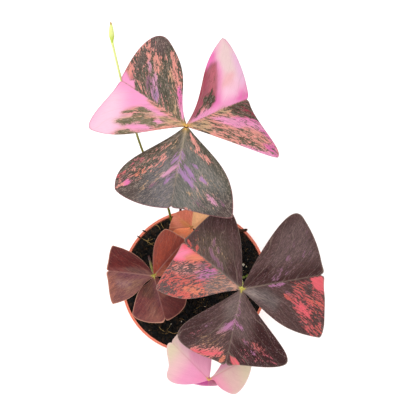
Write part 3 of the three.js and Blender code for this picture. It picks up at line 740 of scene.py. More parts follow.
# a stem starts this far over its rhizome's crest and first rises straight up; a hub is a ball with a joint
# for each leaflet: radius of the ball, place of a joint's middle, and the joint's half sizes
STEM_GAP = 0.3
STEM_RISE = 4
HUB = {"ball": 0.75, "joint_out": 0.9, "joint": (1.1, 0.36, 0.4)}


def stem_tint(low, high, hub, spread, change=(0.45, 0.97)):
    """A stem's colours at its foot and under the hub, the hub's own, how far that spreads over the leaflets,
    and the share of the stem where the colour changes."""
    return {"low": low, "high": high, "hub": hub, "spread": spread, "change": change}


STEM_TINTS = {
    "leaf_tall": stem_tint(STEM_BROWN, STEM_BROWN, HUB_TAN, 3),
    "leaf_right": stem_tint(STEM_BROWN, STEM_GREEN, HUB_YELLOW, 1.8, (0.84, 0.93)),
    "leaf_left": stem_tint(shown("4c2c1e"), shown("8e8830"), HUB_YELLOW, 1.7, (0.6, 0.86)),
    "leaf_young": stem_tint(STEM_BROWN, SALMON_BROWN, shown("c08850"), 1.2),
    "leaf_front": stem_tint(OLIVE_GREEN, ROSE, HUB_TAN, 1.7),
}


def leaflet_axes(data):
    """Out along the midrib, towards the left edge, and up out of the face."""
    h, p, r = (math.radians(data[key]) for key in ("heading", "pitch", "roll"))
    along = np.array([math.cos(h) * math.cos(p), math.sin(h) * math.cos(p), math.sin(p)])
    flat = np.array([-math.sin(h), math.cos(h), 0])
    left = flat * math.cos(r) + np.cross(along, flat) * math.sin(r)
    return along, left, np.cross(along, left)


def edge_points(leaf, data, side, share):
    """The edge of a half blade at shares of the way from the hub round the lobe to the notch."""
    hub = np.array([0, BLADE["hub_half_width"]])
    lobe, tip = np.array(side["lobe"], float), np.array([data["length"], 0.0])
    turn = direction(side["turn"])
    leave = hub + direction(side["spread"]) * np.linalg.norm(hub - lobe) * BLADE["handle"]
    arrive = tip + direction(side["notch"]) * np.linalg.norm(tip - lobe) * BLADE["handle"]
    inner = cubic(hub, leave, lobe - turn * side["reach"][0], lobe, np.clip(2 * share, 0, 1))
    outer = cubic(lobe, lobe + turn * side["reach"][1], arrive, tip, np.clip(2 * share - 1, 0, 1))
    bulge = outer[:, 1] / BLADE["shoulder"]
    outer[:, 0] += leaf["notch_depth"] * bulge * np.exp(1 - bulge)
    return np.where((share <= 0.5)[:, None], inner, outer)


def row_shares(length):
    """Shares of the edge for the rows of a blade, closer together at the notch."""
    t = np.linspace(0, 1, round(BLADE["rows_per_mm"] * length / 2) + 1)
    return np.concatenate([0.5 * t[:-1], 0.5 + 0.5 * (1 - (1 - t) ** BLADE["notch_crowding"])])


def half_face(leaf, data, side, phase):
    """For each row of a half blade, from the midrib to the edge: places on the leaflet (x, y), lifts over
    its plane, distances from the edge, and the cosine and sine of the fold."""
    length = data["length"]
    share = row_shares(length)[:, None]
    u = np.linspace(0, 1, round(BLADE["columns_per_mm"] * length) + 1)
    v = (0.5 * u + 0.25 * (1 - np.cos(math.pi * u)))[None, :]
    rim = edge_points(leaf, data, side, share[:, 0])
    x = length * share ** BLADE["vein_lag"] * (1 - v) + rim[:, :1] * v
    y = rim[:, 1:] * v
    arch = 4 * leaf["arch"] * x / length * (1 - x / length)
    cup = 4 * leaf["cup"] * v * (1 - v) * np.minimum(1, 2 * rim[:, 1:] / length)
    swing = np.sin(2 * math.pi * BLADE["wave_cycles"] * share + phase)
    wave = leaf["wave"] * v ** 2 * np.sin(math.pi * share) * swing
    fold = math.radians(side["fold"])
    edge_gap = (1 - v) * rim[:, 1:]
    return x, y, arch + cup + wave, edge_gap, math.cos(fold), math.sin(fold)


def vein_start(x, y, side):
    """Where along the midrib the vein through a place leaves it: veins leave low and bend outwards."""
    lobe_angle = math.atan2(side["lobe"][1], side["lobe"][0])
    start, bend = lobe_angle - BLADE["vein_lead"] + math.radians(side["vein_turn"]), BLADE["vein_bend"]
    return x - np.log(np.sin(start + bend * y) / math.sin(start)) / bend


def on_midrib(kind, x, y, length):
    """Height or strength of something that follows the midrib."""
    height, width, fade = MIDRIB[kind]
    return height * np.exp(-(y / width) ** 2) * (1 - fade * x / length)


def coverage(x, y, mark, spare=1.0):
    """1 inside a mark and 0 well outside it; spare widens its reach."""
    points = [np.array(p, float) for p in mark["points"]]
    reach = mark["reach"] * spare
    if len(points) == 2:
        a, run = points[0], points[1] - points[0]
        length = np.linalg.norm(run)
        t = ((x - a[0]) * run[0] + (y - a[1]) * run[1]) / length ** 2
        beyond = np.maximum(0, np.abs(t - 0.5) - 0.5) * length
        aside = ((x - a[0]) * run[1] - (y - a[1]) * run[0]) / length
        taper = reach * (0.5 + 0.5 * np.sqrt(np.clip(4 * t * (1 - t), 0, 1)))
        return np.exp(-0.7 * ((aside / taper) ** 2 + (beyond / reach) ** 2))
    inside, away = np.zeros(x.shape, bool), np.full(x.shape, 1e9)
    for a, b in zip(points, points[1:] + points[:1]):
        run = b - a
        t = np.clip(((x - a[0]) * run[0] + (y - a[1]) * run[1]) / np.dot(run, run), 0, 1)
        away = np.minimum(away, np.hypot(x - a[0] - t * run[0], y - a[1] - t * run[1]))
        if a[1] != b[1]:
            crosses = (a[1] > y) != (b[1] > y)
            inside ^= crosses & (x < a[0] + (y - a[1]) * (b[0] - a[0]) / (b[1] - a[1]))
    return smoothstep(0.5 * reach, -0.5 * reach, np.where(inside, -away, away))


def paint(x, y, base, marks, hub_tint, hub_spread):
    """Colour of the plain tissue with the painted sheen, light and shade in it, colour of the flecks and
    their density at each place of a leaflet.
    """
    tissue = np.broadcast_to(base, x.shape + (3,)).copy()
    bright, density = tissue.copy(), np.zeros(x.shape)
    for mark in marks:
        cover = coverage(x, y, mark)
        if mark["layer"] == "ground":
            tissue += (mark["colour"] - tissue) * (cover * mark["amount"])[..., None]
        else:
            bright += (mark["colour"] - bright) * coverage(x, y, mark, FLECK_COLOUR_REACH)[..., None]
            density += (mark["density"] - density) * cover
    near_hub = np.exp(-(np.hypot(x, 2 * y) / hub_spread) ** 2)[..., None]
    tissue += (hub_tint - tissue) * near_hub * HUB_SHARE
    bright += (hub_tint - bright) * near_hub * HUB_SHARE
    return tissue, bright, density


def add_leaflet(mesh, name, index):
    """One leaflet as a closed thin body: an upper face, an under face with the raised midrib, and a rim."""
    leaf, marks, tints = LEAVES[name], MARKINGS[name], STEM_TINTS[name]
    data = leaf["leaflets"][index]
    length = data["length"]
    along, left, up = leaflet_axes(data)
    phase = BLADE["wave_phase"] * 2 * index
    sheets = []
    for key, sign, turn in (("left", 1, phase), ("right", -1, phase + BLADE["wave_phase"])):
        x, y, lift, gap, cosine, sine = half_face(leaf, data, data[key], turn)
        lift = lift - on_midrib("groove", x, y, length)
        place = (x[..., None] * along + (sign * y * cosine)[..., None] * left
                 + (lift - y * sine)[..., None] * up + np.array(leaf["hub"]))
        flow = np.stack([vein_start(x, y, data[key]), sign * y, np.full(x.shape, 7.0 * index)], axis=-1)
        coat = paint(x, sign * y, marks["ground"], marks["leaflets"][index], tints["hub"], tints["spread"])
        keel, stripe = on_midrib("keel", x, y, length), on_midrib("stripe", x, y, length)
        sheets.append([place, flow, *coat, gap, keel, stripe])
    # one row runs from the left edge over the midrib to the right edge
    place, flow, tissue, bright, density, gap, keel, stripe = (
        np.concatenate([a[:, :0:-1], b], axis=1) for a, b in zip(*sheets)
    )
    rows, columns = gap.shape
    thin, full = BLADE["rim_thickness"], BLADE["thickness"]
    thick = thin + (full - thin) * smoothstep(0, BLADE["rim_width"], gap) + keel * smoothstep(0, 1, gap)
    under = place - thick[..., None] * up
    place, under = (np.clip(points, *np.array(cad_box) / MM) for points in (place, under))
    count = rows * columns
    # left edges come first in a row, so this order of corners faces up
    top = grid_faces(rows, columns)
    faces = top + [tuple(count + i for i in reversed(face)) for face in top]
    rim = [i * columns for i in range(rows - 1)] + [(rows - 1) * columns + j for j in range(columns - 1)]
    rim += [i * columns + columns - 1 for i in range(rows - 1, 0, -1)] + list(range(columns - 1, 0, -1))
    faces += [(b, a, count + a, count + b) for a, b in zip(rim, rim[1:] + rim[:1])]
    faces = [tuple(reversed(face)) for face in faces]

    def both(values):
        flat = values.reshape((count,) + values.shape[2:])
        return np.concatenate([flat, flat])

    mesh.add(
        np.concatenate([place.reshape(-1, 3), under.reshape(-1, 3)]), faces,
        flow=both(flow), tissue=both(tissue), bright=both(bright), fleck_amount=both(density),
        rim=both(smoothstep(*BLADE["rim_tint_from_to"], gap)), rib=both(stripe),
        underside=np.concatenate([np.zeros(count), np.ones(count)]),
    )


def rhizome_radius(share):
    return RHIZOME_RADIUS * math.sqrt(max(0, 1 - abs(2 * share - 1) ** 4))


def root_points(shoot):
    """The first two points of a stem: just over its rhizome's crest, and a little higher."""
    rhizome = RHIZOMES[shoot["rhizome"]]
    out = direction(rhizome["heading"]) * shoot["root_along"]
    x, y = rhizome["centre"][0] + out[0], rhizome["centre"][1] + out[1]
    crest = rhizome["centre"][2] + rhizome_radius(0.5 + shoot["root_along"] / rhizome["length"])
    return [(x, y, crest + STEM_GAP), (x, y, crest + STEM_GAP + STEM_RISE)]


def add_petiole(mesh, name):
    """The leaf's stem, a little swollen at its foot and under the hub."""
    rings, sides = 90, 14
    leaf, tints = LEAVES[name], STEM_TINTS[name]
    path = catmull_rom([*root_points(leaf), *leaf["stem"], leaf["hub"]], rings)
    share = np.linspace(0, 1, rings)
    swell = 0.78 + 0.22 * smoothstep(0.3, 0, share) + 0.2 * smoothstep(0.965, 1, share)
    tint = tints["low"] + (tints["high"] - tints["low"]) * smoothstep(*tints["change"], share)[:, None]
    mesh.add(*tube(path, leaf["stem_radius"] * swell, sides), tint=np.repeat(tint, sides, axis=0))


def add_hub(mesh, name):
    """Three short swollen joints, one for each leaflet, meeting over the stem."""
    leaf = LEAVES[name]
    hub = np.array(leaf["hub"], float)
    # small leaves have hubs that are a little smaller
    size = 0.7 + 0.3 * leaf["leaflets"][0]["length"] / 40
    unit, faces = ball(9, 14)
    tint = STEM_TINTS[name]["hub"]
    mesh.add(hub + unit * HUB["ball"] * size, faces, tint=tint)
    for data in leaf["leaflets"]:
        axes = leaflet_axes(data)
        joint = axes[0] * HUB["joint_out"] + stretched(unit, *axes, HUB["joint"])
        mesh.add(hub + joint * size, faces, tint=tint)


# ---------------------------------------------------------------- materials


class Nodes:
    """A material's node tree, with short calls for the nodes used here."""

    def __init__(self, name):
        self.material = bpy.data.materials.new(name)
        self.material.use_nodes = True
        self.tree = self.material.node_tree
        self.shader = self.tree.nodes["Principled BSDF"]
        self.output = self.tree.nodes["Material Output"]

    def put(self, socket, value):
        if isinstance(value, bpy.types.NodeSocket):
            self.tree.links.new(value, socket)
        elif value is not None:
            socket.default_value = (*value, 1) if socket.type == "RGBA" and len(value) == 3 else value

    def new(self, kind, **settings):
        node = self.tree.nodes.new(kind)
        for key, value in settings.items():
            setattr(node, key, value)
        return node

    def parts(self, vector):
        """The x, y and z of a vector."""
        node = self.new("ShaderNodeSeparateXYZ")
        self.put(node.inputs[0], vector)
        return node.outputs

    def attribute(self, name, output="Fac"):
        return self.new("ShaderNodeAttribute", attribute_name=name).outputs[output]

    def math(self, operation, a, b=None, clamp=False):
        node = self.new("ShaderNodeMath", operation=operation, use_clamp=clamp)
        self.put(node.inputs[0], a)
        self.put(node.inputs[1], b)
        return node.outputs[0]

    def times(self, a, b, clamp=False):
        return self.math("MULTIPLY", a, b, clamp)

    def plus(self, a, b):
        return self.math("ADD", a, b)

    def minus(self, a, b):
        return self.math("SUBTRACT", a, b)

    def scaled(self, vector, factors, offset=(0, 0, 0)):
        node = self.new("ShaderNodeVectorMath", operation="MULTIPLY_ADD")
        self.put(node.inputs[0], vector)
        node.inputs[1].default_value = factors
        node.inputs[2].default_value = offset
        return node.outputs[0]

    def noise(self, vector, scale, detail=3, roughness=0.55, distortion=0, low=0.3, high=0.7):
        """Noise, with its values from low to high spread over 0 to 1."""
        node = self.new("ShaderNodeTexNoise")
        self.put(node.inputs["Vector"], vector)
        settings = {"Scale": scale, "Detail": detail, "Roughness": roughness, "Distortion": distortion}
        for key, number in settings.items():
            node.inputs[key].default_value = number
        return self.ranged(node.outputs["Fac"], low, high, 0, 1)

    def ranged(self, value, low, high, to_low, to_high):
        """A value from low to high, turned into one from to_low to to_high."""
        node = self.new("ShaderNodeMapRange")
        self.put(node.inputs["Value"], value)
        for key, number in zip(("From Min", "From Max", "To Min", "To Max"), (low, high, to_low, to_high)):
            node.inputs[key].default_value = number
        return node.outputs[0]

    def share(self, value, low, high):
        """A value from 0 to 1, turned into one from low to high."""
        return self.ranged(value, 0, 1, low, high)

    def mix(self, factor, a, b, blend="MIX"):
        node = self.new("ShaderNodeMix", data_type="RGBA", blend_type=blend)
        self.put(node.inputs["Factor"], factor)
        # the node has sockets for numbers and vectors too; these are the ones for colours
        self.put(node.inputs[6], a)
        self.put(node.inputs[7], b)
        return node.outputs[2]

    def shade(self, colour, factor):
        """A colour made lighter or darker by a value."""
        node = self.new("ShaderNodeVectorMath", operation="SCALE")
        self.put(node.inputs[0], colour)
        self.put(node.inputs["Scale"], factor)
        return node.outputs[0]

    def bump(self, height, strength, distance):
        node = self.new("ShaderNodeBump")
        node.inputs["Strength"].default_value = strength
        node.inputs["Distance"].default_value = distance
        self.put(node.inputs["Height"], height)
        self.put(self.shader.inputs["Normal"], node.outputs[0])

    def finish(self, colour, roughness, specular):
        self.put(self.shader.inputs["Base Color"], colour)
        self.put(self.shader.inputs["Roughness"], roughness)
        self.shader.inputs["Specular IOR Level"].default_value = specular
        return self.material


def coordinates(nodes):
    return nodes.new("ShaderNodeTexCoord").outputs["Object"]


# noises on a leaf: cells per mm along and across its veins, where the noise starts, detail, roughness,
# distortion, and the values that are spread over 0 to 1
LEAF_NOISES = {
    "streaks": ((0.95, 0.36), (0, 0, 0), 4, 0.62, 0.6, 0.34, 0.66),
    "specks": ((2.3, 1.1), (3, 7, 2), 3, 0.6, 0.4, 0.34, 0.66),
    "strength": ((0.9, 0.25), (8, 2, 5), 2, 0.5, 0, 0.3, 0.6),
    "grain": ((2.2, 1.5), (11, 5, 4), 4, 0.8, 0, 0.36, 0.64),
    "weave": ((1.3, 0.5), (1, 4, 9), 4, 0.75, 0.4, 0.36, 0.64),
    "cloud": ((0.35, 0.12), (2, 9, 6), 2, 0.55, 0, 0.3, 0.7),
    "dust": ((1.9, 0.8), (6, 3, 7), 4, 0.7, 0.3, 0.35, 0.65),
    "bend": ((0.1, 0.05), (5, 1, 8), 1, 0.5, 0, 0.3, 0.7),
}
# shares of the streaks and specks in the flecks' threshold, its range, the amount from which flecks join up,
# how far flecks and solid colour reach over the threshold, how sharply they end, and how faint they get
FLECKS = {
    "streaks": 0.62, "specks": 0.38, "threshold": (0.12, 0.88), "solid_from": 0.86, "reach": 0.9,
    "solid_reach": 0.4, "sharpness": 11, "faintest": 0.75,
}
LEAF_GLOW = 0.14


def leaf_material(name, look):
    """Leaf tissue with ragged flecks along the veins, fine veins, a pale rim and its own underside."""
    n = Nodes(name)
    flow = n.attribute("flow", "Vector")
    amount = n.attribute("fleck_amount")

    def leaf_noise(kind, coarse=1):
        (along, across), start, *settings = LEAF_NOISES[kind]
        return n.noise(n.scaled(flow, (along / coarse, across / coarse, 1), start), 1, *settings)

    # flecks show where their amount is over a ragged threshold
    streaks = n.times(leaf_noise("streaks", look["fleck_size"]), FLECKS["streaks"])
    specks = n.times(leaf_noise("specks"), FLECKS["specks"])
    threshold = n.ranged(n.plus(streaks, specks), *FLECKS["threshold"], 0, 1)
    solid = n.ranged(amount, FLECKS["solid_from"], 1, 0, 1)
    cover = n.plus(n.times(amount, FLECKS["reach"]), n.times(solid, FLECKS["solid_reach"]))
    flecks = n.times(n.minus(cover, threshold), FLECKS["sharpness"], clamp=True)
    # a fleck may be faint, except where the flecks join up
    strength = n.share(leaf_noise("strength"), FLECKS["faintest"], 1)
    flecks = n.times(flecks, n.math("MAXIMUM", strength, solid))

    grain, weave, cloud = leaf_noise("grain"), leaf_noise("weave"), leaf_noise("cloud")
    tissue = n.mix(1.0, n.attribute("tissue", "Color"), n.mix(weave, *look["mottle"]), "MULTIPLY")
    for pattern, swing in ((grain, look["grain"]), (cloud, look["cloud"])):
        tissue = n.shade(tissue, n.share(pattern, 1 - swing, 1 + swing))
    # fine pale specks all over the tissue
    speck_amount, speck_colour, speck_strength = look["specks"]
    reach = n.plus(n.times(cloud, 0.3), speck_amount - 1.15)
    dust = n.times(n.plus(leaf_noise("dust"), reach), 4, clamp=True)
    tissue = n.mix(n.times(dust, speck_strength), tissue, speck_colour)
    # broken flecks vary from brownish to bright; solid pinks are nearly even
    ragged = n.mix(weave, (0.84, 0.76, 0.74), (1.1, 1.1, 1.12))
    smooth = n.mix(weave, (0.97, 0.95, 0.96), (1.02, 1.02, 1.02))
    bright = n.mix(1.0, n.attribute("bright", "Color"), n.mix(solid, ragged, smooth), "MULTIPLY")
    colour = n.mix(flecks, tissue, bright)

    start, bend = n.parts(flow)[0], leaf_noise("bend")

    def vein_lines(spacing, width):
        wander = n.plus(n.math("DIVIDE", start, spacing), n.times(bend, 0.8))
        away = n.math("ABSOLUTE", n.minus(n.math("FRACT", wander), 0.5))
        return n.ranged(away, 0, width, 1, 0)

    # secondary veins every few millimetres, and finer ones between
    main_veins = vein_lines(spacing=6.5, width=0.036)
    fine_veins = vein_lines(spacing=1.15, width=0.16)
    vein_colour, vein_share = look["veins"]
    colour = n.mix(n.times(main_veins, vein_share), colour, vein_colour)
    colour = n.mix(n.times(fine_veins, vein_share * 0.25), colour, n.shade(colour, 1.5))
    for key in ("rib", "rim"):
        colour = n.mix(n.times(n.attribute(key), look[key][1]), colour, look[key][0])
    colour = n.mix(n.attribute("underside"), colour, n.mix(look["under"][1], colour, look["under"][0]))

    height = n.minus(n.times(grain, 0.5), n.times(main_veins, 0.9))
    n.bump(n.minus(height, n.times(fine_veins, 0.35)), strength=0.35, distance=0.00012)
    n.finish(colour, n.share(grain, 0.5, 0.66), specular=0.2)

    # a thin blade lets a little light through
    through = n.new("ShaderNodeBsdfTranslucent")
    n.put(through.inputs["Color"], colour)
    both = n.new("ShaderNodeMixShader")
    both.inputs[0].default_value = LEAF_GLOW
    n.put(both.inputs[1], n.shader.outputs[0])
    n.put(both.inputs[2], through.outputs[0])
    n.put(n.output.inputs["Surface"], both.outputs[0])
    return n.material


# roughness, specular level, cells of grain per metre, its contrast, and the height of its bumps in metres,
# for the materials that take their colour from the mesh
TINTED = {
    "crumbs": (0.88, 0.2, 900, 0.15, 0.0003),
    "perlite_grain": (0.8, 0.3, 1500, 0.15, 0.0002),
    "fibre": (0.8, 0.2, 700, 0.15, 0.0001),
    "bark": (0.85, 0.2, 800, 0.15, 0.0003),
    "seedling_green": (0.5, 0.4, 900, 0.15, 0.0001),
    "stalk_skin": (0.5, 0.4, 600, 0.08, 0.00005),
    "petiole_skin": (0.55, 0.25, 600, 0.12, 0.00006),
}


def tinted_material(name):
    """Takes its colour from the mesh's tint, with fine noise over it."""
    roughness, specular, scale, contrast, bump = TINTED[name]
    n = Nodes(name)
    grain = n.noise(coordinates(n), scale, detail=4, roughness=0.65)
    colour = n.shade(n.attribute("tint", "Color"), n.share(grain, 1 - contrast, 1 + contrast))
    n.bump(grain, strength=0.4, distance=bump)
    return n.finish(colour, n.share(grain, roughness - 0.06, roughness + 0.06), specular)


# heights in metres between which the film on the pot fades out over the foot, fades in again under the
# band, and ends
FILM = {"foot": (0.002, 0.03), "corner": (0.054, 0.064), "band": (0.0645, 0.0655), "strength": 0.4}


def pot_material():
    """Moulded plastic: faint mottling, fine pitting, light scuffs and a dried film of compost."""
    n = Nodes("terracotta_plastic")
    place = coordinates(n)
    cloud = n.noise(place, 35)
    pits = n.noise(place, 1400, roughness=0.6)
    scuffs = n.noise(n.scaled(place, (60, 60, 900)), 1, detail=4, roughness=0.7, low=0.6, high=0.75)
    colour = n.mix(cloud, TERRACOTTA * 0.9, TERRACOTTA * 1.05)
    colour = n.mix(n.times(scuffs, 0.14), colour, shown("f8b09a"))
    # watering leaves the film round the foot and in the corner under the band
    height = n.parts(place)[2]
    foot = n.ranged(height, *FILM["foot"], 1, 0)
    corner = n.times(n.ranged(height, *FILM["corner"], 0, 0.8), n.ranged(height, *FILM["band"], 1, 0))
    film = n.noise(n.scaled(place, (110, 110, 45)), 1, 5, 0.65, 0.3, 0.42, 0.66)
    film = n.times(film, n.math("MAXIMUM", foot, corner))
    colour = n.mix(n.times(film, FILM["strength"]), colour, shown("96604a"))
    n.bump(pits, strength=0.25, distance=0.00008)
    return n.finish(colour, n.share(cloud, 0.42, 0.54), specular=0.45)


def compost_material():
    """Nearly black peat in darker and lighter patches, with brown crumbs."""
    n = Nodes("compost")
    place = coordinates(n)
    crumbs = n.noise(place, 420, detail=5, roughness=0.7)
    colour = n.mix(n.noise(place, 90), COMPOST * 0.35, COMPOST * 1.9)
    colour = n.mix(n.times(n.ranged(crumbs, 0.5, 0.9, 0, 1), 0.6), colour, shown("5c4a3a"))
    n.bump(crumbs, strength=0.8, distance=0.0006)
    return n.finish(colour, 0.9, specular=0.2)


def rhizome_material():
    n = Nodes("rhizome")
    grain = n.noise(coordinates(n), 500, detail=4, roughness=0.6)
    n.bump(grain, strength=0.5, distance=0.0003)
    return n.finish(n.mix(grain, shown("a06a5a"), shown("d8a090")), 0.7, specular=0.3)


# ---------------------------------------------------------------- camera, floor and light

# lens and sensor in mm, places in metres, and the tilt in degrees from straight down
CAMERA = {
    "lens": 50, "sensor_width": 36, "clip_start": 0.01,
    "location": (0.0084, -0.0772, 0.4258), "tilt": 90 - 70.65,
}
FLOOR_REACH = 3
LAMP = {"size": 1.2, "energy": 8, "location": (-0.25, -0.3, 1.1), "target": (0, 0, 0.1)}
SKY_STRENGTH = 1.12


def make_camera():
    camera = bpy.data.objects.new("camera", bpy.data.cameras.new("camera"))
    bpy.context.scene.collection.objects.link(camera)
    for key in ("lens", "sensor_width", "clip_start"):
        setattr(camera.data, key, CAMERA[key])
    camera.location = CAMERA["location"]
    camera.rotation_euler = (math.radians(CAMERA["tilt"]), 0, 0)
    bpy.context.scene.camera = camera


def make_floor():
    corners = np.array([(-1, -1, 0), (1, -1, 0), (1, 1, 0), (-1, 1, 0)]) * FLOOR_REACH
    floor = make_object("floor", corners / MM, [(0, 1, 2, 3)])
    n = Nodes("floor")
    colour = n.mix(n.noise(coordinates(n), 6), (0.97, 0.97, 0.97), (0.99, 0.99, 0.99))
    floor.data.materials.append(n.finish(colour, 0.9, specular=0.1))


def make_light():
    world = bpy.data.worlds.new("studio")
    bpy.context.scene.world = world
    world.use_nodes = True
    background = world.node_tree.nodes["Background"]
    background.inputs["Color"].default_value = (1, 1, 1, 1)
    background.inputs["Strength"].default_value = SKY_STRENGTH
    lamp = bpy.data.lights.new("overhead", "AREA")
    lamp.size = LAMP["size"]
    lamp.energy = LAMP["energy"]
    light = bpy.data.objects.new("overhead", lamp)
    light.location = LAMP["location"]
    light.rotation_euler = (Vector(LAMP["target"]) - light.location).to_track_quat("-Z", "Y").to_euler()
    bpy.context.scene.collection.objects.link(light)
    bpy.context.scene.view_settings.view_transform = "Standard"


# ---------------------------------------------------------------- pot

POT = {
    "rim_radius": 45, "height": 74, "band_height": 9, "band_wall": 1.5, "band_flare": 0.6,
    "band_step": 0.5, "wall_top_radius": 42.6, "wall": 1.2, "ledge": 1.5, "base_radius": 32, "floor": 1.6,
}
# the rim's lip with its groove: distances in from the rim's radius and down from its top
LIP = [(0, 0), (0.6, 0), (0.75, 0.35), (0.95, 0.35), (1.05, 0.05), (POT["band_wall"], 0.05)]
BAND_BOTTOM = POT["height"] - POT["band_height"]
BAND_INNER = POT["rim_radius"] - POT["band_wall"] - POT["band_flare"]
DRAIN = {"radius": 1.9, "ring_radius": 22, "count": 8}
POT_SIDES = 192


def rounded(corners, radius, steps=3):
    """A profile with its inner corners rounded by short arcs."""
    out = [corners[0]]
    for a, b, c in zip(corners, corners[1:], corners[2:]):
        a, b, c = (np.array(p, float) for p in (a, b, c))
        r = min(radius, 0.4 * np.linalg.norm(b - a), 0.4 * np.linalg.norm(c - b))
        p = b + (a - b) / np.linalg.norm(a - b) * r
        q = b + (c - b) / np.linalg.norm(c - b) * r
        for t in np.linspace(0, 1, steps + 1):
            out.append(tuple((1 - t) ** 2 * p + 2 * t * (1 - t) * b + t ** 2 * q))
    return [*out, corners[-1]]


def make_pot():
    p = POT
    profile = rounded([
        (0, 0), (p["base_radius"], 0), (p["wall_top_radius"], BAND_BOTTOM - p["band_step"]),
        (p["rim_radius"] - p["band_flare"], BAND_BOTTOM),
        *[(p["rim_radius"] - inward, p["height"] - down) for inward, down in LIP],
        (BAND_INNER, BAND_BOTTOM + p["ledge"]), (p["wall_top_radius"] - p["wall"], BAND_BOTTOM),
        (p["base_radius"] - p["wall"], p["floor"]), (0, p["floor"]),
    ], radius=0.3)
    pot = make_object("nursery_pot", *lathe(profile, POT_SIDES))
    drills = Mesh()
    for i in range(DRAIN["count"]):
        x, y = DRAIN["ring_radius"] * direction(360 * (i + 0.5) / DRAIN["count"])
        drills.add(*tube([(x, y, -4), (x, y, 0), (x, y, 6)], [DRAIN["radius"]] * 3, 32))
    cutter = drills.build("drain_cutter")
    cut = pot.modifiers.new("drain_holes", "BOOLEAN")
    cut.operation, cut.solver, cut.object = "DIFFERENCE", "EXACT", cutter
    apply_modifiers(pot)
    bpy.data.objects.remove(cutter)
    pot.data.set_sharp_from_angle(angle=math.radians(50))
    add_piece(pot, pot_material(), "terracotta_plastic", "pot")


def apply_modifiers(made):
    """Keeps the mesh that the modifiers give, and removes them."""
    graph = bpy.context.evaluated_depsgraph_get()
    mesh = bpy.data.meshes.new_from_object(made.evaluated_get(graph))
    made.modifiers.clear()
    made.data = mesh


# ---------------------------------------------------------------- compost

SEEDS = {"crumbs": 4, "perlite": 9, "fibres": 21, "chips": 33}

# the heap is compost washed up against the wall, between two shares of the radius; a wave is its height,
# its turns per mm in x and in y, and where it starts; lumps are a height, a layer of noise and its scale
SOIL = {
    "level": 70, "gap": 0.3, "rings": 100, "sides": 300, "heap": 3.1, "heap_from_to": (0.8, 0.97),
    "waves": [
        (0.8, 0.31, 0.12, 1.1), (0.6, -0.17, 0.36, 0.4), (0.4, 0.62, -0.48, 2.0), (0.3, 0.35, 0.9, 0.7),
    ],
    "lumps": [(1.3, 3, 0.45), (1, 9, 1.1), (0.5, 5, 2.6)],
}
SOIL_RADIUS = BAND_INNER - SOIL["gap"] + POT["band_flare"] * 0.4


def relief(x, y, layer, scale):
    return noise.noise(Vector((x, y, layer)) * scale)


def soil_height(x, y):
    """Height of the crumbly surface over its level."""
    out = math.hypot(x, y) / SOIL_RADIUS
    heap = float(smoothstep(*SOIL["heap_from_to"], out)) * (SOIL["heap"] + 0.6 * relief(x, y, 1, 0.35))
    waves = sum(h * math.sin(kx * x + ky * y + phase) for h, kx, ky, phase in SOIL["waves"])
    lumps = sum(height * relief(x, y, layer, scale) for height, layer, scale in SOIL["lumps"])
    return (waves * 0.7 + lumps) * (1 - 0.75 * out ** 12) + heap


def make_soil():
    p, gap = POT, SOIL["gap"]
    profile = [
        (0, p["floor"] + gap), (p["base_radius"] - p["wall"] - 2 * gap, p["floor"] + gap),
        (p["wall_top_radius"] - p["wall"] - gap, BAND_BOTTOM + gap),
        (BAND_INNER - gap, BAND_BOTTOM + p["ledge"] + gap),
    ]
    profile += [(SOIL_RADIUS * i / SOIL["rings"], SOIL["level"]) for i in range(SOIL["rings"], -1, -1)]
    points, faces = lathe(profile, SOIL["sides"])
    for point in points:
        if point[2] > SOIL["level"] - 0.01:
            point[2] += soil_height(point[0], point[1])
    add_piece(make_object("compost", points, faces), compost_material(), "compost", "soil")


def on_soil(x, y, lift=0):
    return np.array([x, y, SOIL["level"] + soil_height(x, y) + lift])


LUMP_STRETCH = ((0.7, 1.3), (0.7, 1.3), (0.5, 0.9))


def rough_ball(chance, rings, sides, roughness):
    """A unit ball with its points pushed in and out at random."""
    unit, faces = ball(rings, sides)
    return unit * (1 + roughness * np.array([chance.uniform(-1, 1) for _ in unit]))[:, None], faces


def lump(chance, centre, size, roughness, rings=4, sides=7):
    """A crumb: a small rough ball, stretched and squashed a little."""
    unit, faces = rough_ball(chance, rings, sides, roughness)
    spin = chance.uniform(0, 2 * math.pi)
    stretch = np.array([chance.uniform(*limits) for limits in LUMP_STRETCH]) * size
    return centre + turned(unit * stretch, spin), faces


def random_place(chance, radius):
    turn, out = chance.uniform(0, 2 * math.pi), radius * math.sqrt(chance.random())
    return out * math.cos(turn), out * math.sin(turn)


# sizes of crumbs, the tints they take, and how often a small and a large crumb takes each
CRUMBS = {
    "count": 1900, "reach": 42, "sizes": (0.3, 0.4, 0.5, 0.7, 1),
    "tints": [COMPOST, shown("221b17"), shown("38302a"), shown("544a40"), shown("746856")],
    "small": (4, 4, 4, 2.5, 1.2), "large": (6, 4, 2, 0, 0),
}


def make_crumbs():
    """Loose crumbs of peat and bark lying on the compost."""
    chance = random.Random(SEEDS["crumbs"])
    mesh = Mesh()
    for _ in range(CRUMBS["count"]):
        x, y = random_place(chance, CRUMBS["reach"])
        size = chance.choice(CRUMBS["sizes"])
        points, faces = lump(chance, on_soil(x, y, 0.25 * size), size, roughness=0.22)
        weights = CRUMBS["small" if size < 0.6 else "large"]
        mesh.add(points, faces, tint=chance.choices(CRUMBS["tints"], weights)[0])
    add_piece(mesh.build("compost_crumbs", smooth=False), tinted_material("crumbs"), "compost")


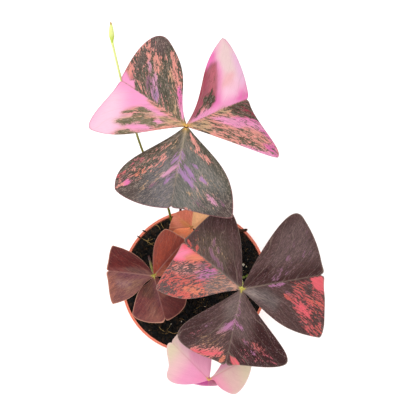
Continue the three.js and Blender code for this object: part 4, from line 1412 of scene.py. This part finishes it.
# perlite grains where they show best (place and size), and the number, reach and sizes of the others
PERLITE_SPOTS = [(30.7, 9.8, 0.8), (32.6, 8.5, 0.7), (30.5, 6.4, 0.6), (33.6, 13, 0.5), (-15.5, 35.5, 0.8)]
PERLITE = {
    "count": 46, "reach": 40, "sizes": (0.25, 0.5),
    "tints": (shown("c8c0aa"), shown("b0a688"), shown("8c8070")),
}


def make_perlite():
    """White perlite grains: a few where they show best, and some at random."""
    chance = random.Random(SEEDS["perlite"])
    mesh = Mesh()
    scattered = [
        (*random_place(chance, PERLITE["reach"]), chance.uniform(*PERLITE["sizes"]))
        for _ in range(PERLITE["count"])
    ]
    for x, y, size in PERLITE_SPOTS + scattered:
        points, faces = lump(chance, on_soil(x, y, 0.35 * size), size, roughness=0.16, rings=6, sides=9)
        mesh.add(points, faces, tint=chance.choice(PERLITE["tints"]))
    add_piece(mesh.build("perlite"), tinted_material("perlite_grain"), "compost")


# fibres that stand out: start, middle and end on the compost, thickness
FIBRE_SPOTS = [
    ((-35.2, 27.3), (-31, 24.6), (-26.2, 22), 0.4),
    ((-28, 27.4), (-29.4, 25.3), (-30, 22.6), 0.34),
    ((-31.4, 24.8), (-28.6, 24.9), (-26.4, 26.6), 0.26),
    ((-26.4, 35.2), (-23.6, 34.4), (-22, 32), 0.34),
    ((-21.9, 37.6), (-21.3, 35.2), (-19.6, 33), 0.3),
    ((-17, -31), (-12, -33), (-7, -31), 0.3),
    ((-33, -17), (-31, -21), (-27, -24), 0.26),
    ((-22, -28), (-20, -30.6), (-16, -32.6), 0.26),
    ((4.4, -8), (6, -11), (5.6, -13), 0.4),
]
FIBRES = {
    "count": 260, "reach": 40, "furthest": 41.5, "lengths": (2.5, 8), "curls": (-0.9, 0.9),
    "lifts": (0.05, 0.5), "radii": (0.06, 0.15), "spot_tint": shown("a88c5c"),
    "tints": [shown("b09868"), shown("8a7048"), shown("6a583c"), shown("4a3c2a")], "weights": (1, 3, 5, 4),
}


def make_fibres():
    """Coir and root fibres, thin and curled, lying on the compost."""
    chance = random.Random(SEEDS["fibres"])
    mesh = Mesh()

    def add(points, radius, tint):
        rings, sides = 16, 6
        path = catmull_rom(points, rings)
        taper = radius * (1 - 0.6 * np.abs(np.linspace(-1, 1, rings)) ** 3)
        mesh.add(*tube(path, taper, sides), tint=tint)

    for a, b, c, width in FIBRE_SPOTS:
        add([on_soil(*a, 0.2), on_soil(*b, 0.9), on_soil(*c, 0.2)], width / 2, FIBRES["spot_tint"])
    for _ in range(FIBRES["count"]):
        x, y = random_place(chance, FIBRES["reach"])
        turn, length = chance.uniform(0, 2 * math.pi), chance.uniform(*FIBRES["lengths"])
        curl = chance.uniform(*FIBRES["curls"])
        spots = []
        for _ in range(4):
            spots.append(on_soil(x, y, chance.uniform(*FIBRES["lifts"])))
            x += math.cos(turn) * length / 3
            y += math.sin(turn) * length / 3
            turn += curl
        if max(math.hypot(s[0], s[1]) for s in spots) < FIBRES["furthest"]:
            radius = chance.uniform(*FIBRES["radii"])
            add(spots, radius, chance.choices(FIBRES["tints"], FIBRES["weights"])[0])
    add_piece(mesh.build("fibres"), tinted_material("fibre"), "compost")


# bits of bark: centre, heading, length, width, tilt
CHIPS = [
    ((30.2, 31, 74.2), 8, 7, 2.4, 10),
    ((30.8, 28.6, 73.4), -40, 4, 1.8, 5),
    ((-32, 30.6, 74.2), 153, 3.2, 1, 5),
    ((-35.4, 26.8, 74.2), 149, 3, 0.9, 5),
    ((-24, 30, 70.8), 70, 4, 1.8, 10),
    ((28, 15, 70.8), 20, 3.6, 1.6, 8),
    ((-6, -34, 70.6), 110, 5, 1.8, 6),
    ((-20, -20, 70.8), 40, 4, 2, 12),
    ((8, -33, 70.8), 150, 4.4, 1.6, 8),
    ((20, 33, 70.8), 60, 4.6, 2, 9),
    ((37, -8, 70.8), 100, 4, 1.6, 6),
]
CHIP_THICKNESS = 0.9
CHIP_TINTS = (shown("2c1f17"), shown("443220"))


def make_chips():
    """Splinters of bark, two of them over the rim."""
    chance = random.Random(SEEDS["chips"])
    mesh = Mesh()
    for centre, heading, length, width, tilt in CHIPS:
        unit, faces = rough_ball(chance, 7, 12, roughness=0.14)
        axes = leaflet_axes({"heading": heading, "pitch": tilt, "roll": 0})
        shape = stretched(unit, *axes, (length / 2, width / 2, CHIP_THICKNESS / 2))
        mesh.add(np.array(centre) + shape, faces, tint=chance.choice(CHIP_TINTS))
    add_piece(mesh.build("bark_chips", smooth=False), tinted_material("bark"), "compost")


def make_seedling():
    """A tiny green seedling by the right leaf's hub: a stem and two seed leaves."""
    mesh = Mesh()
    foot = on_soil(31, 1.2)
    top = foot + (0.5, 0.3, 2.6)
    stem = catmull_rom([foot, foot + (0.2, 0.2, 1.4), top], 8)
    mesh.add(*tube(stem, [0.28] * len(stem), 8), tint=shown("808c34"))
    unit, faces = ball(7, 12)
    for heading in (25, 200):
        out = np.array([*direction(heading), 0.3])
        side, up = np.array([-out[1], out[0], 0]), np.array([0, 0, 1])
        seed_leaf = stretched(unit, out, side, up, (1.3, 0.8, 0.2))
        mesh.add(top + out * 1.2 + seed_leaf, faces, tint=shown("626e24"))
    add_piece(mesh.build("seedling"), tinted_material("seedling_green"), "stalk_green")


# ---------------------------------------------------------------- rhizomes

SCALES = {"tiers": 12, "round": 6}


def scale_lift(share, turn):
    """How far a place of a rhizome lies out along its scale, from 0 at the scale's foot to 1 at its tip."""
    tier = share * SCALES["tiers"]
    odd = 0.5 * (int(tier) % 2)
    aside = abs(((turn * SCALES["round"] + odd) % 1) - 0.5) * 2
    return (tier % 1) * (1 - 0.5 * aside)


def make_rhizomes():
    """Scaly underground stems: rings of pointed scales that overlap towards the tip."""
    material = rhizome_material()
    rings, sides = 96, 60
    for name, data in RHIZOMES.items():
        half_length = data["length"] / 2
        points = [(-half_length, 0, 0)]
        for i in range(1, rings):
            share = i / rings
            for j in range(sides):
                turn = j / sides
                radius = rhizome_radius(share) * (0.87 + 0.12 * scale_lift(share, turn))
                y, z = radius * math.cos(2 * math.pi * turn), radius * math.sin(2 * math.pi * turn)
                points.append(((share - 0.5) * data["length"], y, z))
        points.append((half_length, 0, 0))
        points = turned(np.array(points), math.radians(data["heading"])) + np.array(data["centre"])
        rhizome = make_object(f"{name}_scaly", points, ball_faces(rings - 1, sides))
        add_piece(rhizome, material, "rhizome", name)


# ---------------------------------------------------------------- flower stalk


def make_flower_stalk():
    mesh = Mesh()
    rings, sides = 120, 12
    path = catmull_rom([*root_points(STALK), *STALK["stem"], STALK["bud_base"]], rings)
    share = np.linspace(0, 1, rings)
    radii = STALK["radius"] * (1.3 - 0.42 * share + 0.2 * smoothstep(0.975, 1, share))
    pale = smoothstep(*STALK["pale_from_to"], path[:, 2:])
    tint = OLIVE_GREEN + (LIME - OLIVE_GREEN) * pale
    mesh.add(*tube(path, radii, sides), tint=np.repeat(tint, sides, axis=0))
    add_bud(mesh)
    add_piece(mesh.build("flower_stalk_fine"), tinted_material("stalk_skin"), "stalk_green", "flower_stalk")


def add_bud(mesh):
    """A closed bud: five sepals round a twisted cone of petals, tipped with orange."""
    rings, sides = 60, 50
    base, tip = np.array(STALK["bud_base"]), np.array(STALK["bud_tip"])
    length = np.linalg.norm(tip - base)
    axis = (tip - base) / length
    side = np.cross(axis, [0, 1, 0])
    side /= np.linalg.norm(side)
    other = np.cross(axis, side)
    shares, radii = zip(*BUD_PROFILE)
    points, tints = [base - axis * 0.4], [LIME]
    for share in np.linspace(0, 1, rings):
        radius = np.interp(share, shares, radii)
        ripening = float(smoothstep(0.2, 0.45, share))
        orange = float(smoothstep(0.84, 0.96, share))
        for turn in np.linspace(0, 2 * math.pi, sides, endpoint=False):
            sepal_edge = 0.62 - 0.25 * abs(math.sin(2.5 * turn))
            sepal = float(smoothstep(sepal_edge + 0.02, sepal_edge - 0.02, share))
            twist = math.cos(5 * (turn + 2.4 * share))
            crease = sepal * abs(math.cos(2.5 * turn))
            r = radius * (1 + 0.1 * sepal + 0.05 * twist * (1 - sepal) - 0.05 * crease)
            outward = math.cos(turn) * side + math.sin(turn) * other
            points.append(base + axis * share * (length - 0.1) + r * outward)
            green = LIME_DEEP + (LIME - LIME_DEEP) * ripening * (1 - 0.3 * sepal)
            tints.append(green + (BUD_ORANGE - green) * orange)
    points.append(tip - axis * 0.05)
    tints.append(BUD_ORANGE)
    mesh.add(points, ball_faces(rings, sides), tint=tints)


# ---------------------------------------------------------------- leaves, put together

# slot in the record; size of the flecks; two tones, grain and clouding of the tissue's mottling; amount,
# colour and strength of its pale specks; then colours and strengths of the veins, underside, rim and midrib
LEAF_LOOKS = {
    "leaf_tall": {
        "slot": "leaf_pink_splashed", "fleck_size": 1.25,
        "mottle": ((0.66, 0.7, 0.62), (1.34, 1.26, 1.24)), "grain": 0.34, "cloud": 0.14,
        "specks": (0.42, SAND, 0.5), "veins": (SAND, 0.22), "under": (shown("8c4864"), 0.65),
        "rim": (ROSE * 0.75, 0.35), "rib": (TAN, 0.24),
    },
    "leaf_right": {
        "slot": "leaf_dark_purple", "fleck_size": 1,
        "mottle": ((0.62, 0.6, 0.62), (1.34, 1.34, 1.32)), "grain": 0.3, "cloud": 0.14,
        "specks": (0.3, MAUVE_SAND, 0.6), "veins": (BONE, 0.34), "under": (shown("7a3450"), 0.75),
        "rim": (BONE, 0.45), "rib": (BONE, 0.55),
    },
    "leaf_left": {
        "slot": "leaf_maroon", "fleck_size": 1,
        "mottle": ((0.64, 0.6, 0.86), (1.28, 1.42, 1.14)), "grain": 0.26, "cloud": 0.2,
        "specks": (0.22, shown("a07a68"), 0.4), "veins": (SALMON_EDGE, 0.14),
        # the pale salmon rim stands for light shining through the thin edge: a painted glow
        "under": (shown("8a3048"), 0.7), "rim": (SALMON_EDGE, 0.85), "rib": (shown("b48478"), 0.7),
    },
    "leaf_young": {
        "slot": "leaf_orange", "fleck_size": 1,
        "mottle": ((0.9, 0.88, 0.86), (1.06, 1.08, 1.1)), "grain": 0.1, "cloud": 0.1,
        "specks": (0.1, APRICOT, 0.4), "veins": (APRICOT, 0.3), "under": (shown("c05a50"), 0.5),
        "rim": (SALMON_EDGE, 0.3), "rib": (APRICOT, 0.3),
    },
    "leaf_front": {
        "slot": "leaf_pink", "fleck_size": 1,
        "mottle": ((0.98, 0.96, 0.97), (1.02, 1.03, 1.02)), "grain": 0.03, "cloud": 0.03,
        "specks": (0.05, CREAM, 0.4), "veins": (ROSE, 0.05), "under": (MAGENTA_UNDER, 0.85),
        "rim": (PALE_PINK, 0.3), "rib": (ROSE, 0.5),
    },
}


def make_leaves():
    stem_skin = tinted_material("petiole_skin")
    for name, look in LEAF_LOOKS.items():
        blades = Mesh()
        for index in range(3):
            add_leaflet(blades, name, index)
        tissue = leaf_material(f"{name}_tissue", look)
        add_piece(blades.build(f"{name}_blades"), tissue, look["slot"], name)
        stem = Mesh()
        add_petiole(stem, name)
        add_hub(stem, name)
        add_piece(stem.build(f"{name}_stem"), stem_skin, look["slot"], name)


make_camera()
make_floor()
make_light()
make_pot()
make_soil()
make_crumbs()
make_perlite()
make_fibres()
make_chips()
make_seedling()
make_rhizomes()
make_flower_stalk()
make_leaves()
